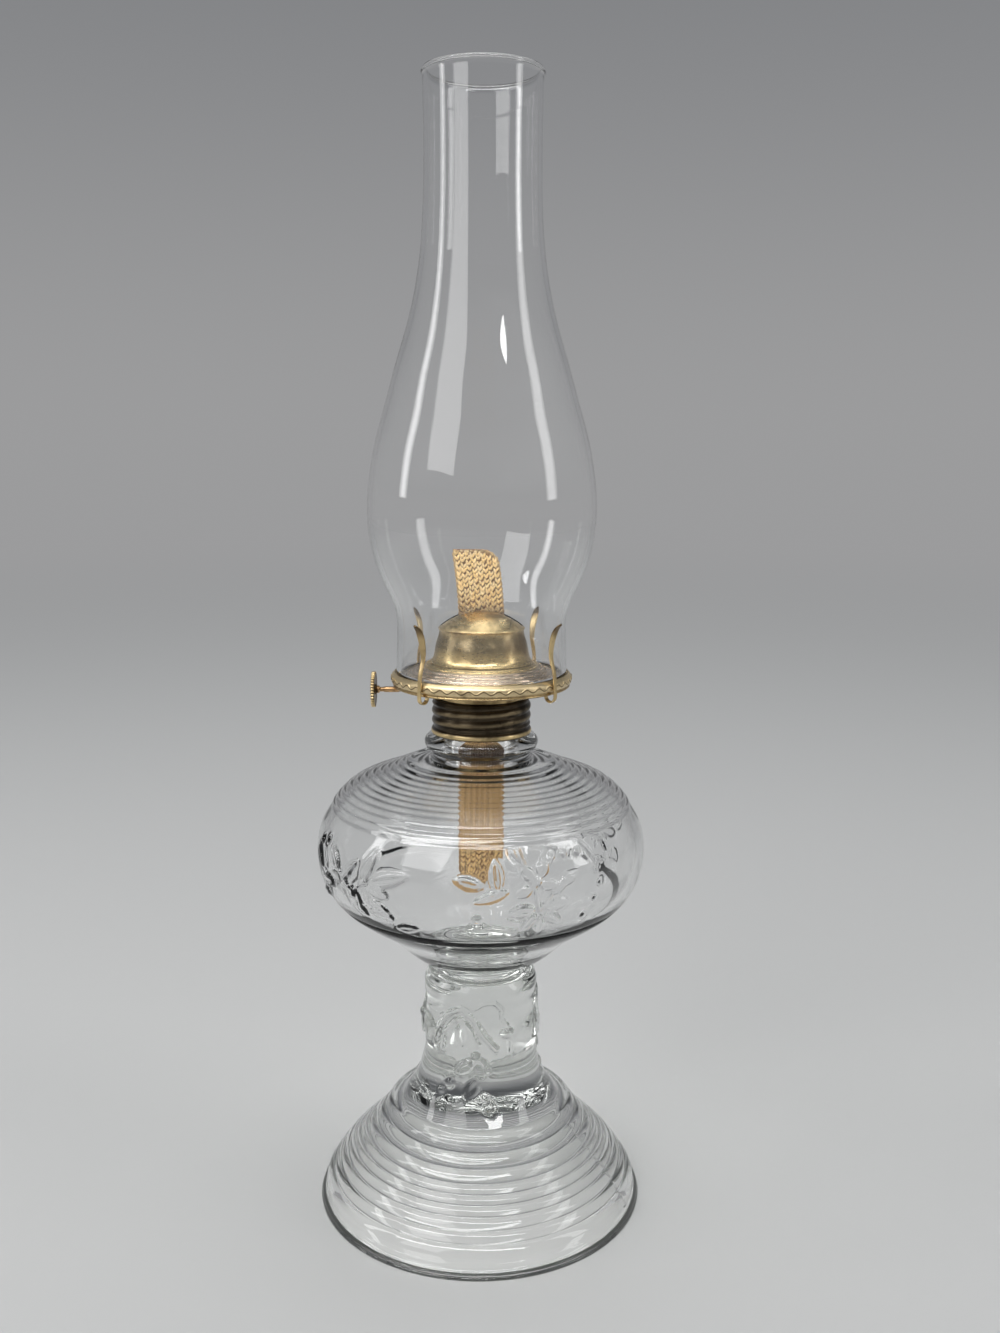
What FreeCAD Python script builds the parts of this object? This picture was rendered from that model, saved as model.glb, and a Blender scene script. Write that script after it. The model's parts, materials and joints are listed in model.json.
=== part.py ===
import FreeCAD, Part
import math
import os
from FreeCAD import Vector

# A glass oil lamp with a flat-wick burner. Sizes are in millimetres.
# The origin is the centre of the foot's underside, with Z up and X along the winder shaft.
# The names that end in share or shares are shares of the size that is named beside them.

# Clearances
moving_gap = 0.3
running_clearance = 0.05
solder_gap = 0.05
overrun = 1.0

# Glass pedestal: a ribbed bell foot under a solid stem
foot_overhang = 1.25
pedestal_height = 112.0
bell_height = 46.6
bell_top_diameter = 80.0
stem_diameter = 52.0
stem_lip_diameter = 44.0
stem_lip_depth = 2.0
joint_diameter = 30.0
foot_band_height = 6.4
foot_wall = 5.0
bell_ring_depth = 0.9
hollow_crown_rise = 4.4
hollow_top_diameter = 22.0

# Height shares of the bell and share of the way from its top radius to its foot radius
bell_curve_shares = ((1.0, 0.0), (0.90, 0.09), (0.77, 0.21), (0.58, 0.46), (0.32, 0.765))
# Shares of the bell's slope at which one ring ends and the next begins
bell_ring_shares = (0.0, 0.135, 0.265, 0.385, 0.475, 0.56, 0.65, 0.755, 0.855)
# Height shares of the stem above the bell, and shares of the stem's radius
stem_curve_shares = (
    (0.02, 1.43), (0.14, 1.20), (0.27, 1.07), (0.42, 1.0), (0.63, 1.02), (0.75, 0.965),
    (0.85, 0.99), (0.92, 1.0),
)
# Shares for how far the foot's band leans in and how far the stem's lip rolls over
foot_band_slope_share = 0.45
lip_roll_share = 0.7
# Height and radius shares of the hollow under the foot
hollow_curve_shares = ((0.15, 0.95), (0.45, 0.74), (0.70, 0.52), (0.88, 0.31))

# Glass font: the oil reservoir with its screw neck
font_diameter = 148.5
font_height = 99.0
font_wall = 3.8
font_floor_thickness = 9.0
font_floor_diameter = 44.0
shoulder_ring_count = 12
shoulder_ring_depth = 0.45
neck_height = 26.0
neck_core_diameter = 40.4
neck_wall = 3.7
neck_waist_swell = 2.1
neck_bead_swell = 5.5
neck_bead_height = 11.3
neck_waist_share = 0.22
neck_bead_share = 0.72

# Height shares of the font and shares of its radius, from the joint up to the shoulder
bowl_curve_shares = (
    (0.025, 0.295), (0.060, 0.385), (0.106, 0.465), (0.202, 0.603), (0.283, 0.761),
    (0.364, 0.892), (0.455, 0.967), (0.566, 1.0), (0.687, 0.982), (0.788, 0.910),
)
shoulder_curve_shares = (
    (0.788, 0.910), (0.848, 0.848), (0.895, 0.754), (0.929, 0.634), (0.970, 0.501), (0.996, 0.411),
)

# Screw thread of the neck and its ring
thread_pitch = 4.4
thread_depth = 1.3
thread_height = 8.5
thread_base_width = 1.4
thread_crest_width = 0.6
thread_top_drop = 2.0
groove_side_clearance = 0.45

# Brass sheet of the burner
burner_sheet = 0.6
thin_sheet = 0.5

# Screw ring
ring_height = 16.0
ring_core_gap = 0.7
ring_band_gap = 0.4
ring_band_height = 2.6
ring_cup_gap = 1.3
ridge_base_width = 3.0
ridge_crest_width = 1.5

# Burner base: a cup in the neck with a disc that lies on the glass
base_disc_gap = 0.6
base_cup_gap = 0.9
base_cup_depth = 5.9
vent_hole_diameter = 2.4
vent_offset = 9.0

# Air basket between the base and the gallery
basket_foot_lap = 0.8
basket_foot_width = 4.0
basket_wall_height = 4.1
basket_rim_inset = 0.7
basket_rim_drop = 2.3
basket_hole_diameter = 2.6
basket_hole_count = 24

# Gallery that the chimney stands in
seat_rise = 10.8
seat_width = 4.5
gallery_rim_flare = 1.3
gallery_lip_height = 0.9
gallery_band_height = 4.9
gallery_bead_diameter = 1.0
flange_top_rise = 5.0
flange_lap = 2.2
flange_land_margin = 0.2
flange_step_count = 5
flange_riser_share = 0.45
flange_hole_diameter = 1.5
flange_hole_count = 36

# Air diffuser plate under the dome
diffuser_lap = 2.0
diffuser_hole_diameter = 1.8
diffuser_hole_count = 20
diffuser_row_count = 2
diffuser_row_spacing = 3.2
diffuser_row_margin = 5.3

# Flame deflector: a slotted dome
dome_skirt_diameter = 43.0
dome_skirt_taper = 2.7
dome_foot_lip = 1.5
dome_height = 24.0
dome_waist_height = 15.3
dome_bead_depth = 0.5
dome_bead_height = 1.6
dome_foot_height = 1.0
slot_wick_gap = 1.55
slot_end_inset = 0.3

# Wick and the flat tube that it runs in
wick_width = 20.4
wick_thickness = 2.5
wick_corner_radius = 0.7
wick_above_dome = 26.0
wick_tail_below_neck = 85.0
wick_round_share = 0.32
wick_edge_clearance = 0.8
wick_face_clearance = 0.4
wick_tube_wall = 0.5
wick_tube_below_base = 7.5
wick_tube_below_dome = 9.0

# Wick winder
shaft_diameter = 2.0
shaft_lift = 1.8
shaft_head_diameter = 3.0
shaft_head_thickness = 0.7
spur_diameter = 8.0
spur_root_diameter = 5.8
spur_thickness = 0.8
spur_tooth_count = 12
spur_count = 4
spur_edge_margin = 3.6
spur_wick_gap = 0.25
spur_side_gap = 0.6
thumb_wheel_diameter = 16.2
thumb_wheel_thickness = 1.6
thumb_wheel_clearance = 8.8
thumb_wheel_notch_depth = 0.45
thumb_wheel_notch_count = 36
thumb_wheel_hub_diameter = 4.4
thumb_wheel_hub_thickness = 0.8

# Chimney prongs
prong_names = ("prong_front_left", "prong_front_right", "prong_back_right", "prong_back_left")
prong_first_angle = -129.0
prong_thickness = 0.8
prong_stem_width = 2.0
prong_leaf_width = 4.6
prong_hook_radius = 2.5
prong_hook_drop = 8.9
prong_rim_gap = 0.75
prong_end_gap = 0.6
prong_grip_gap = 0.35
prong_grip_height = 12.5
prong_height = 26.0
prong_tip_reach = 4.6
prong_bend_share = 0.25
prong_middle_shares = (0.45, 0.62)
prong_leaf_shares = (0.3, 0.5)
prong_stem_share = 0.4
prong_crown_share = 0.6

# Chimney, a glass of the No. 2 size
chimney_fitter_diameter = 76.2
chimney_waist_inset = 0.55
chimney_bulge_diameter = 100.8
chimney_top_diameter = 51.0
chimney_height = 254.0
chimney_wall = 2.0
chimney_lip_swell = 0.6
chimney_lip_height = 2.4

# Height shares of the chimney, and shares of the way from the waist out to the fitter or the bulge
chimney_lower_shares = ((0.110, 0.05), (0.130, 0.19), (0.169, 0.55), (0.209, 0.815), (0.248, 0.96))
chimney_fitter_shares = ((0.030, 0.50), (0.062, 0.14))
chimney_waist_share = 0.09
chimney_bulge_share = 0.289
# Height shares of the chimney, and shares of the way from the top tube out to the bulge
chimney_upper_shares = (
    (0.350, 0.945), (0.408, 0.83), (0.465, 0.665), (0.524, 0.498),
    (0.583, 0.314), (0.642, 0.162), (0.701, 0.062),
)
chimney_tube_share = 0.78

# Sizes that follow from the ones above
foot_diameter = font_diameter + 2 * foot_overhang
hollow_height = bell_height + hollow_crown_rise
neck_bore_diameter = neck_core_diameter - 2 * neck_wall
thread_crest_diameter = neck_core_diameter + 2 * thread_depth
ring_core_diameter = neck_core_diameter + 2 * (ring_core_gap + thin_sheet)
ring_band_diameter = thread_crest_diameter + 2 * (ring_band_gap + thin_sheet)
ring_ridge_diameter = thread_crest_diameter + 2 * (moving_gap + thin_sheet)
base_disc_diameter = ring_core_diameter - 2 * (thin_sheet + base_disc_gap)
base_cup_diameter = neck_bore_diameter - 2 * base_cup_gap
ring_hole_diameter = base_cup_diameter + 2 * ring_cup_gap
basket_foot_bore = base_cup_diameter - 2 * basket_foot_lap
basket_wall_diameter = base_cup_diameter + 2 * basket_foot_width
basket_rim_diameter = chimney_fitter_diameter - 2 * basket_rim_inset
gallery_rim_diameter = chimney_fitter_diameter + 2 * gallery_rim_flare
flange_outer_diameter = chimney_fitter_diameter - 2 * seat_width
dome_waist_diameter = dome_skirt_diameter - 2 * dome_skirt_taper
dome_foot_diameter = dome_skirt_diameter + 2 * dome_foot_lip
flange_inner_diameter = dome_foot_diameter - 2 * flange_lap
flange_land_diameter = dome_foot_diameter + 2 * flange_land_margin
diffuser_diameter = flange_inner_diameter + 2 * diffuser_lap
wick_tube_inner_width = wick_width + 2 * wick_edge_clearance
wick_tube_inner_gap = wick_thickness + 2 * wick_face_clearance
wick_tube_outer_width = wick_tube_inner_width + 2 * wick_tube_wall
wick_tube_outer_gap = wick_tube_inner_gap + 2 * wick_tube_wall
slot_width = wick_thickness + 2 * slot_wick_gap
slot_length = dome_waist_diameter - 2 * slot_end_inset
spur_spacing = (wick_width - 2 * spur_edge_margin) / (spur_count - 1)
thumb_wheel_reach = gallery_rim_diameter / 2 + thumb_wheel_clearance
housing_half_length = (spur_spacing * (spur_count - 1) + spur_thickness) / 2 + 2 * spur_side_gap

# Heights that follow from the sizes
shoulder_z = pedestal_height + font_height
neck_top = shoulder_z + neck_height
disc_bottom = neck_top + moving_gap
disc_top = disc_bottom + burner_sheet
ring_flange_bottom = disc_top + moving_gap
ring_top = ring_flange_bottom + burner_sheet
basket_bottom = ring_top + moving_gap
shaft_z = basket_bottom + shaft_lift
seat_z = basket_bottom + seat_rise
chimney_bottom = seat_z + moving_gap
flange_top_z = seat_z + flange_top_rise
dome_bottom = flange_top_z + moving_gap
dome_top = dome_bottom + dome_height
wick_top = dome_top + wick_above_dome
wick_bottom = neck_top - wick_tail_below_neck
thread_top_z = neck_top - thread_top_drop
thread_bottom_z = thread_top_z - thread_height
shaft_y = wick_thickness / 2 + spur_wick_gap + spur_diameter / 2

up = Vector(0, 0, 1)
centre = Vector(0, 0, 0)


def at(radius, height):
    """A point of an outline, in the XZ plane."""
    return Vector(radius, 0, height)


def line(start, end):
    return Part.LineSegment(start, end).toShape()


def polyline(points):
    return [line(a, b) for a, b in zip(points, points[1:])]


def spline(points):
    curve = Part.BSplineCurve()
    curve.interpolate(points)
    return curve


def turned(edges):
    """The solid made by turning a closed outline round the Z axis."""
    face = Part.Face(Part.Wire(edges))
    return face.revolve(centre, up, 360)


def turned_polygon(points):
    return turned(polyline(points + points[:1]))


def inset(points, wall):
    """Points moved inward by the wall, square to the line that runs through them."""
    moved = []
    last = len(points) - 1
    for i, point in enumerate(points):
        along = points[min(i + 1, last)] - points[max(i - 1, 0)]
        along.normalize()
        moved.append(point + Vector(-along.z, 0, along.x) * wall)
    return moved


def ridges(marks, depth):
    """Arcs that bulge out between the points that are given."""
    edges = []
    for a, b in zip(marks, marks[1:]):
        along = b - a
        along.normalize()
        crest = (a + b) / 2 + Vector(along.z, 0, -along.x) * depth
        edges.append(Part.Arc(a, crest, b).toShape())
    return edges


def hole_ring(circle_radius, hole_radius, count, bottom, top, row):
    """Upright drills on a circle, where each row stands half a step round from the last."""
    drills = []
    for i in range(count):
        drill = Part.makeCylinder(hole_radius, top - bottom, at(circle_radius, bottom))
        drill.rotate(centre, up, 360 * (i + row / 2) / count)
        drills.append(drill)
    return drills


def flat_oval(width, thickness, bottom, top):
    """An upright solid with a flat oval section, wide along X."""
    radius = thickness / 2
    reach = width / 2 - radius
    right = Part.Arc(Vector(reach, -radius, bottom), Vector(width / 2, 0, bottom),
                     Vector(reach, radius, bottom))
    left = Part.Arc(Vector(-reach, radius, bottom), Vector(-width / 2, 0, bottom),
                    Vector(-reach, -radius, bottom))
    back = line(Vector(reach, radius, bottom), Vector(-reach, radius, bottom))
    front = line(Vector(-reach, -radius, bottom), Vector(reach, -radius, bottom))
    outline = Part.Wire([right.toShape(), back, left.toShape(), front])
    return Part.Face(outline).extrude(up * (top - bottom))


def helical_band(pitch, start_z, height, root_radius, crest_radius, root_width, crest_width):
    """A band of trapezoid section wound on a right-hand helix, in step with the neck's thread."""
    lead = start_z - thread_bottom_z
    path = Part.makeHelix(pitch, height, root_radius)
    section = Part.makePolygon([
        at(root_radius, -root_width / 2), at(crest_radius, -crest_width / 2),
        at(crest_radius, crest_width / 2), at(root_radius, root_width / 2),
        at(root_radius, -root_width / 2),
    ])
    band = Part.Wire(path).makePipeShell([section], True, True)
    band.rotate(centre, up, 360.0 * lead / pitch)
    band.translate(up * start_z)
    return band


def make_pedestal():
    foot_radius = foot_diameter / 2
    bell_top = bell_top_diameter / 2
    stem_radius = stem_diameter / 2
    lip_radius = stem_lip_diameter / 2
    joint_radius = joint_diameter / 2
    stem_height = pedestal_height - bell_height
    bell = [at(bell_top + share * (foot_radius - bell_top), bell_height * level)
            for level, share in bell_curve_shares]
    bell.append(at(foot_radius - foot_band_height * foot_band_slope_share, foot_band_height))
    slope = spline(bell)
    marks = [slope.value(slope.parameterAtDistance(slope.length() * share)) for share in bell_ring_shares]
    marks = (marks + bell[-1:])[::-1]
    rings = ridges(marks, bell_ring_depth)
    stem = [at(stem_radius * share, bell_height + stem_height * level)
            for level, share in stem_curve_shares]
    lip_edge = at((stem_radius + lip_radius) / 2, pedestal_height - stem_lip_depth * lip_roll_share)
    lip_top = at(lip_radius, pedestal_height - stem_lip_depth * lip_roll_share / 2)
    groove = at((lip_radius + joint_radius) / 2, pedestal_height - stem_lip_depth)
    stem.append(lip_edge)
    hollow_mouth = foot_radius - foot_wall
    hollow_top = hollow_top_diameter / 2
    hollow = [at(hollow_mouth, 0)]
    for level, share in hollow_curve_shares:
        hollow.append(at(hollow_top + share * (hollow_mouth - hollow_top), hollow_height * level))
    hollow.append(at(0, hollow_height))
    edges = [line(at(hollow_mouth, 0), at(foot_radius, 0)), line(at(foot_radius, 0), marks[0])]
    edges += rings
    edges.append(line(at(bell_top, bell_height), stem[0]))
    edges.append(spline(stem).toShape())
    edges.append(spline([lip_edge, lip_top, groove]).toShape())
    edges += polyline([groove, at(joint_radius, pedestal_height), at(0, pedestal_height),
                       at(0, hollow_height)])
    edges.append(spline(hollow).toShape())
    return turned(edges)


def make_font():
    radius = font_diameter / 2
    bowl = [at(joint_diameter / 2, pedestal_height)]
    bowl += [at(radius * share, pedestal_height + font_height * level)
             for level, share in bowl_curve_shares]
    shoulder = [at(radius * share, pedestal_height + font_height * level)
                for level, share in shoulder_curve_shares]
    core = neck_core_diameter / 2
    waist = core + neck_waist_swell
    bead = core + neck_bead_swell
    bore = neck_bore_diameter / 2
    waist_z = shoulder_z + neck_bead_height * neck_waist_share
    bead_z = shoulder_z + neck_bead_height * neck_bead_share
    bead_top = shoulder_z + neck_bead_height
    neck = [shoulder[-1], at(waist + (shoulder[-1].x - waist) / 4, shoulder_z), at(waist, waist_z)]
    bulge = [at(waist, waist_z), at(bead, bead_z), at((bead + core) / 2, bead_top)]
    edges = polyline([at(0, pedestal_height), bowl[0]])
    edges.append(spline(bowl).toShape())
    marks = spline(shoulder).toShape().discretize(Number=shoulder_ring_count + 1)
    edges += ridges(marks, shoulder_ring_depth)
    edges.append(spline(neck).toShape())
    edges.append(Part.Arc(*bulge).toShape())
    edges += polyline([bulge[-1], at(core, bead_top), at(core, neck_top), at(bore, neck_top)])
    smooth = bowl + shoulder[1:]
    inside = inset(smooth, font_wall)
    floor_z = pedestal_height + font_floor_thickness
    throat = at(bore, inside[-1].z + font_wall / 4)
    cavity = [at(0, floor_z), at(font_floor_diameter / 2, floor_z + font_wall / 4)]
    cavity += inside[4:-1] + [throat]
    edges.append(line(at(bore, neck_top), throat))
    edges.append(spline(cavity[::-1]).toShape())
    edges.append(line(at(0, floor_z), at(0, pedestal_height)))
    body = turned(edges)
    thread = helical_band(thread_pitch, thread_bottom_z, thread_height, core - thin_sheet,
                          thread_crest_diameter / 2, thread_base_width, thread_crest_width)
    return body.fuse(thread)


def make_screw_ring():
    band_outer = ring_band_diameter / 2
    core_outer = ring_core_diameter / 2
    core_inner = core_outer - thin_sheet
    band_inner = band_outer - thin_sheet
    hole = ring_hole_diameter / 2
    bottom = ring_top - ring_height
    band_top = bottom + ring_band_height
    taper_top = band_top + thin_sheet
    body = turned_polygon([
        at(hole, ring_flange_bottom), at(hole, ring_top), at(core_outer, ring_top),
        at(core_outer, taper_top), at(band_outer, band_top), at(band_outer, bottom),
        at(band_inner, bottom), at(band_inner, band_top), at(core_inner, taper_top),
        at(core_inner, ring_flange_bottom),
    ])
    ridge_height = ring_top - ridge_base_width / 2 - band_top
    ridge = helical_band(thread_pitch, band_top, ridge_height, core_outer - thin_sheet / 2,
                         ring_ridge_diameter / 2, ridge_base_width, ridge_crest_width)
    groove_root = core_inner - moving_gap
    groove_width = thread_base_width + 2 * groove_side_clearance
    groove_crest_width = thread_crest_width + groove_side_clearance
    groove_start = band_top - groove_width
    groove_height = ring_flange_bottom - groove_width / 2 - moving_gap - groove_start
    groove = helical_band(thread_pitch, groove_start, groove_height, groove_root,
                          thread_crest_diameter / 2 + moving_gap, groove_width, groove_crest_width)
    band_room = Part.makeCylinder(band_inner, ring_band_height + overrun, at(0, bottom - overrun))
    return body.fuse(ridge).cut([groove, band_room])


def make_burner_base():
    cup_outer = base_cup_diameter / 2
    cup_inner = cup_outer - burner_sheet
    disc = base_disc_diameter / 2
    floor_top = disc_bottom - base_cup_depth + burner_sheet
    floor_bottom = floor_top - burner_sheet
    cup = turned_polygon([
        at(0, floor_bottom), at(cup_outer, floor_bottom), at(cup_outer, disc_bottom),
        at(disc, disc_bottom), at(disc, disc_top), at(cup_outer, disc_top), at(cup_outer, basket_bottom),
        at(cup_inner, basket_bottom), at(cup_inner, floor_top), at(0, floor_top),
    ])
    slot = flat_oval(wick_tube_outer_width + 2 * solder_gap, wick_tube_outer_gap + 2 * solder_gap,
                     floor_bottom - overrun, floor_top + overrun)
    vent = Part.makeCylinder(vent_hole_diameter / 2, burner_sheet + 2 * overrun,
                             Vector(0, -vent_offset, floor_bottom - overrun))
    return cup.cut([slot, vent])


def make_air_basket():
    bore = basket_foot_bore / 2
    wall_outer = basket_wall_diameter / 2
    wall_inner = wall_outer - thin_sheet
    wall_top = basket_bottom + basket_wall_height
    rim_outer = basket_rim_diameter / 2
    rim_inner = rim_outer - thin_sheet
    rim_top = seat_z - burner_sheet
    cone_top = rim_top - basket_rim_drop
    foot_top = basket_bottom + thin_sheet
    sheet = turned_polygon([
        at(bore, basket_bottom), at(wall_outer, basket_bottom), at(wall_outer, wall_top - thin_sheet),
        at(rim_outer, cone_top), at(rim_outer, rim_top), at(rim_inner, rim_top),
        at(rim_inner, cone_top + thin_sheet), at(wall_inner, wall_top), at(wall_inner, foot_top),
        at(bore, foot_top),
    ])
    drills = []
    for row in (1, 2):
        circle = wall_outer + (rim_outer - wall_outer) * row / 3
        drills += hole_ring(circle, basket_hole_diameter / 2, basket_hole_count, basket_bottom, rim_top,
                            row)
    passage = Part.makeCylinder(shaft_diameter / 2 + moving_gap, rim_outer, Vector(0, shaft_y, shaft_z),
                                Vector(-1, 0, 0))
    return sheet.cut(drills + [passage])


def make_gallery():
    rim = gallery_rim_diameter / 2
    lip_inner = chimney_fitter_diameter / 2 + moving_gap
    lip_outer = lip_inner + thin_sheet
    lip_top = seat_z + gallery_lip_height
    band_bottom = seat_z - gallery_band_height
    step_start = flange_land_diameter / 2
    step_end = flange_outer_diameter / 2
    step_width = (step_end - step_start) / flange_step_count
    step_drop = flange_top_rise / flange_step_count
    top = [at(flange_inner_diameter / 2, flange_top_z), at(step_start, flange_top_z)]
    for i in range(flange_step_count):
        foot = step_start + step_width * (i + flange_riser_share)
        level = flange_top_z - step_drop * (i + 1)
        top += [at(foot, level), at(step_start + step_width * (i + 1), level)]
    top.append(at(lip_inner, seat_z))
    bottom = [point - up * burner_sheet for point in reversed(top)]
    plate = turned_polygon(top + bottom)
    band = turned_polygon([
        at(lip_inner, seat_z - burner_sheet), at(lip_inner, lip_top), at(lip_outer, lip_top),
        at(rim, band_bottom), at(rim - thin_sheet, band_bottom),
        at(lip_outer - thin_sheet / 2, seat_z - burner_sheet),
    ])
    bead = Part.makeTorus(rim - thin_sheet / 2, gallery_bead_diameter / 2, at(0, band_bottom))
    drills = []
    for row in (1, 2, 3):
        circle = step_start + step_width * (row + (1 + flange_riser_share) / 2)
        drills += hole_ring(circle, flange_hole_diameter / 2, flange_hole_count, seat_z - overrun,
                            flange_top_z + overrun, row)
    return plate.fuse([band, bead]).cut(drills)


def make_air_diffuser():
    top = flange_top_z - burner_sheet
    bottom = top - thin_sheet
    disc = Part.makeCylinder(diffuser_diameter / 2, thin_sheet, at(0, bottom))
    slot = flat_oval(wick_tube_outer_width + 2 * solder_gap, wick_tube_outer_gap + 2 * solder_gap,
                     bottom - overrun, top + overrun)
    drills = []
    for row in range(diffuser_row_count):
        circle = diffuser_diameter / 2 - diffuser_row_margin - row * diffuser_row_spacing
        drills += hole_ring(circle, diffuser_hole_diameter / 2, diffuser_hole_count, bottom - overrun,
                            top + overrun, row)
    return disc.cut(drills + [slot])


def dome_outline(shrink):
    """Edges of the dome's skirt and cap, moved inward by the sheet."""
    skirt = dome_skirt_diameter / 2 - shrink
    waist = dome_waist_diameter / 2 - shrink
    foot_top = dome_bottom + dome_foot_height
    waist_z = dome_bottom + dome_waist_height
    bead_low = waist_z - dome_bead_height / 2
    bead_high = waist_z + dome_bead_height / 2
    apex = dome_top - shrink
    cap_rise = apex - bead_high
    cap_radius = (waist ** 2 + cap_rise ** 2) / (2 * cap_rise)
    half_angle = math.asin(waist / cap_radius) / 2
    cap_middle = at(cap_radius * math.sin(half_angle), apex - cap_radius * (1 - math.cos(half_angle)))
    skirt_line = line(at(skirt, foot_top), at(waist, bead_low))
    bead_middle = at(waist + dome_bead_depth, waist_z)
    bead = Part.Arc(at(waist, bead_low), bead_middle, at(waist, bead_high)).toShape()
    cap = Part.Arc(at(waist, bead_high), cap_middle, at(0, apex)).toShape()
    return [skirt_line, bead, cap]


def make_flame_deflector():
    foot = dome_foot_diameter / 2
    skirt = dome_skirt_diameter / 2
    foot_top = dome_bottom + thin_sheet
    outer = polyline([at(0, dome_bottom), at(foot, dome_bottom), at(foot, foot_top),
                      at(skirt, dome_bottom + dome_foot_height)])
    outer += dome_outline(0)
    outer.append(line(at(0, dome_top), at(0, dome_bottom)))
    inner_skirt = skirt - thin_sheet
    inner = [line(at(0, dome_bottom), at(inner_skirt, dome_bottom))]
    inner.append(line(at(inner_skirt, dome_bottom), at(inner_skirt, dome_bottom + dome_foot_height)))
    inner += dome_outline(thin_sheet)
    inner.append(line(at(0, dome_top - thin_sheet), at(0, dome_bottom)))
    slot_bottom = dome_bottom + dome_waist_height + dome_bead_height / 2
    slot = Part.makeBox(slot_length, slot_width, dome_height,
                        Vector(-slot_length / 2, -slot_width / 2, slot_bottom))
    return turned(outer).cut([turned(inner), slot])


def spur_places():
    return [spur_spacing * (i - (spur_count - 1) / 2) for i in range(spur_count)]


def make_wick_tube():
    bottom = disc_bottom - base_cup_depth - wick_tube_below_base
    top = dome_top - wick_tube_below_dome
    outer = flat_oval(wick_tube_outer_width, wick_tube_outer_gap, bottom, top)
    inner = flat_oval(wick_tube_inner_width, wick_tube_inner_gap, bottom - overrun, top + overrun)
    reach = shaft_y - wick_tube_inner_gap / 2
    half_window = math.sqrt((spur_diameter / 2) ** 2 - (reach - wick_tube_wall) ** 2) + spur_side_gap
    width = spur_thickness + spur_side_gap
    windows = []
    for place in spur_places():
        corner = Vector(place - width / 2, wick_tube_inner_gap / 2 - wick_tube_wall, shaft_z - half_window)
        windows.append(Part.makeBox(width, 2 * wick_tube_wall + overrun, 2 * half_window, corner))
    return outer.cut([inner] + windows)


def make_winder_housing():
    front = wick_tube_outer_gap / 2
    inner_back = shaft_y + spur_diameter / 2 + moving_gap
    inner_half = spur_diameter / 2 + moving_gap
    outer_end = housing_half_length + thin_sheet
    box = Part.makeBox(2 * outer_end, inner_back + thin_sheet - front, 2 * (inner_half + thin_sheet),
                       Vector(-outer_end, front, shaft_z - inner_half - thin_sheet))
    room = Part.makeBox(2 * housing_half_length, inner_back - front + overrun, 2 * inner_half,
                        Vector(-housing_half_length, front - overrun, shaft_z - inner_half))
    bearing = Part.makeCylinder(shaft_diameter / 2 + running_clearance, 2 * (outer_end + overrun),
                                Vector(-outer_end - overrun, shaft_y, shaft_z), Vector(1, 0, 0))
    return box.cut([room, bearing])


def make_winder_shaft():
    inner_end = housing_half_length + thin_sheet + moving_gap
    outer_end = thumb_wheel_reach + thumb_wheel_thickness
    rod = Part.makeCylinder(shaft_diameter / 2, inner_end + outer_end, Vector(inner_end, shaft_y, shaft_z),
                            Vector(-1, 0, 0))
    head = Part.makeCylinder(shaft_head_diameter / 2, shaft_head_thickness,
                             Vector(inner_end, shaft_y, shaft_z), Vector(1, 0, 0))
    rivet = Part.makeCone(shaft_head_diameter / 2, shaft_diameter / 2, shaft_head_thickness,
                          Vector(-outer_end, shaft_y, shaft_z), Vector(-1, 0, 0))
    return rod.fuse([head, rivet])


def toothed_disc(place, thickness, tip_radius, root_radius, count, bore_radius):
    """A disc across the winder shaft with pointed teeth."""
    points = []
    for i in range(2 * count):
        radius = root_radius if i % 2 else tip_radius
        angle = math.pi * i / count
        points.append(Vector(place, shaft_y + radius * math.cos(angle), shaft_z + radius * math.sin(angle)))
    disc = Part.Face(Part.makePolygon(points + points[:1])).extrude(Vector(thickness, 0, 0))
    bore = Part.makeCylinder(bore_radius, thickness + 2 * overrun,
                             Vector(place - overrun, shaft_y, shaft_z), Vector(1, 0, 0))
    return disc.cut(bore)


def make_spur_wheel(place):
    return toothed_disc(place - spur_thickness / 2, spur_thickness, spur_diameter / 2,
                        spur_root_diameter / 2, spur_tooth_count, shaft_diameter / 2 + solder_gap)


def make_thumb_wheel():
    outer = thumb_wheel_diameter / 2
    bore = shaft_diameter / 2 + solder_gap
    disc = toothed_disc(-thumb_wheel_reach - thumb_wheel_thickness, thumb_wheel_thickness, outer,
                        outer - thumb_wheel_notch_depth, thumb_wheel_notch_count, bore)
    hub = toothed_disc(-thumb_wheel_reach, thumb_wheel_hub_thickness, thumb_wheel_hub_diameter / 2,
                       thumb_wheel_hub_diameter / 2, thumb_wheel_notch_count, bore)
    return disc.fuse(hub)


def make_wick():
    half = wick_width / 2
    block = Part.makeBox(wick_width, wick_thickness, wick_top - wick_bottom,
                         Vector(-half, -wick_thickness / 2, wick_bottom))
    upright = [edge for edge in block.Edges if abs(edge.Length - (wick_top - wick_bottom)) < moving_gap]
    tape = block.makeFillet(wick_corner_radius, upright)
    trim = wick_width * wick_round_share
    corner = Part.makeBox(trim, wick_thickness + 2 * overrun, trim,
                          Vector(half - trim, -wick_thickness / 2 - overrun, wick_top - trim))
    round_end = Part.makeCylinder(trim, wick_thickness + 2 * overrun,
                                  Vector(half - trim, -wick_thickness / 2 - overrun, wick_top - trim),
                                  Vector(0, 1, 0))
    return tape.cut(corner.cut(round_end))


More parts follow.
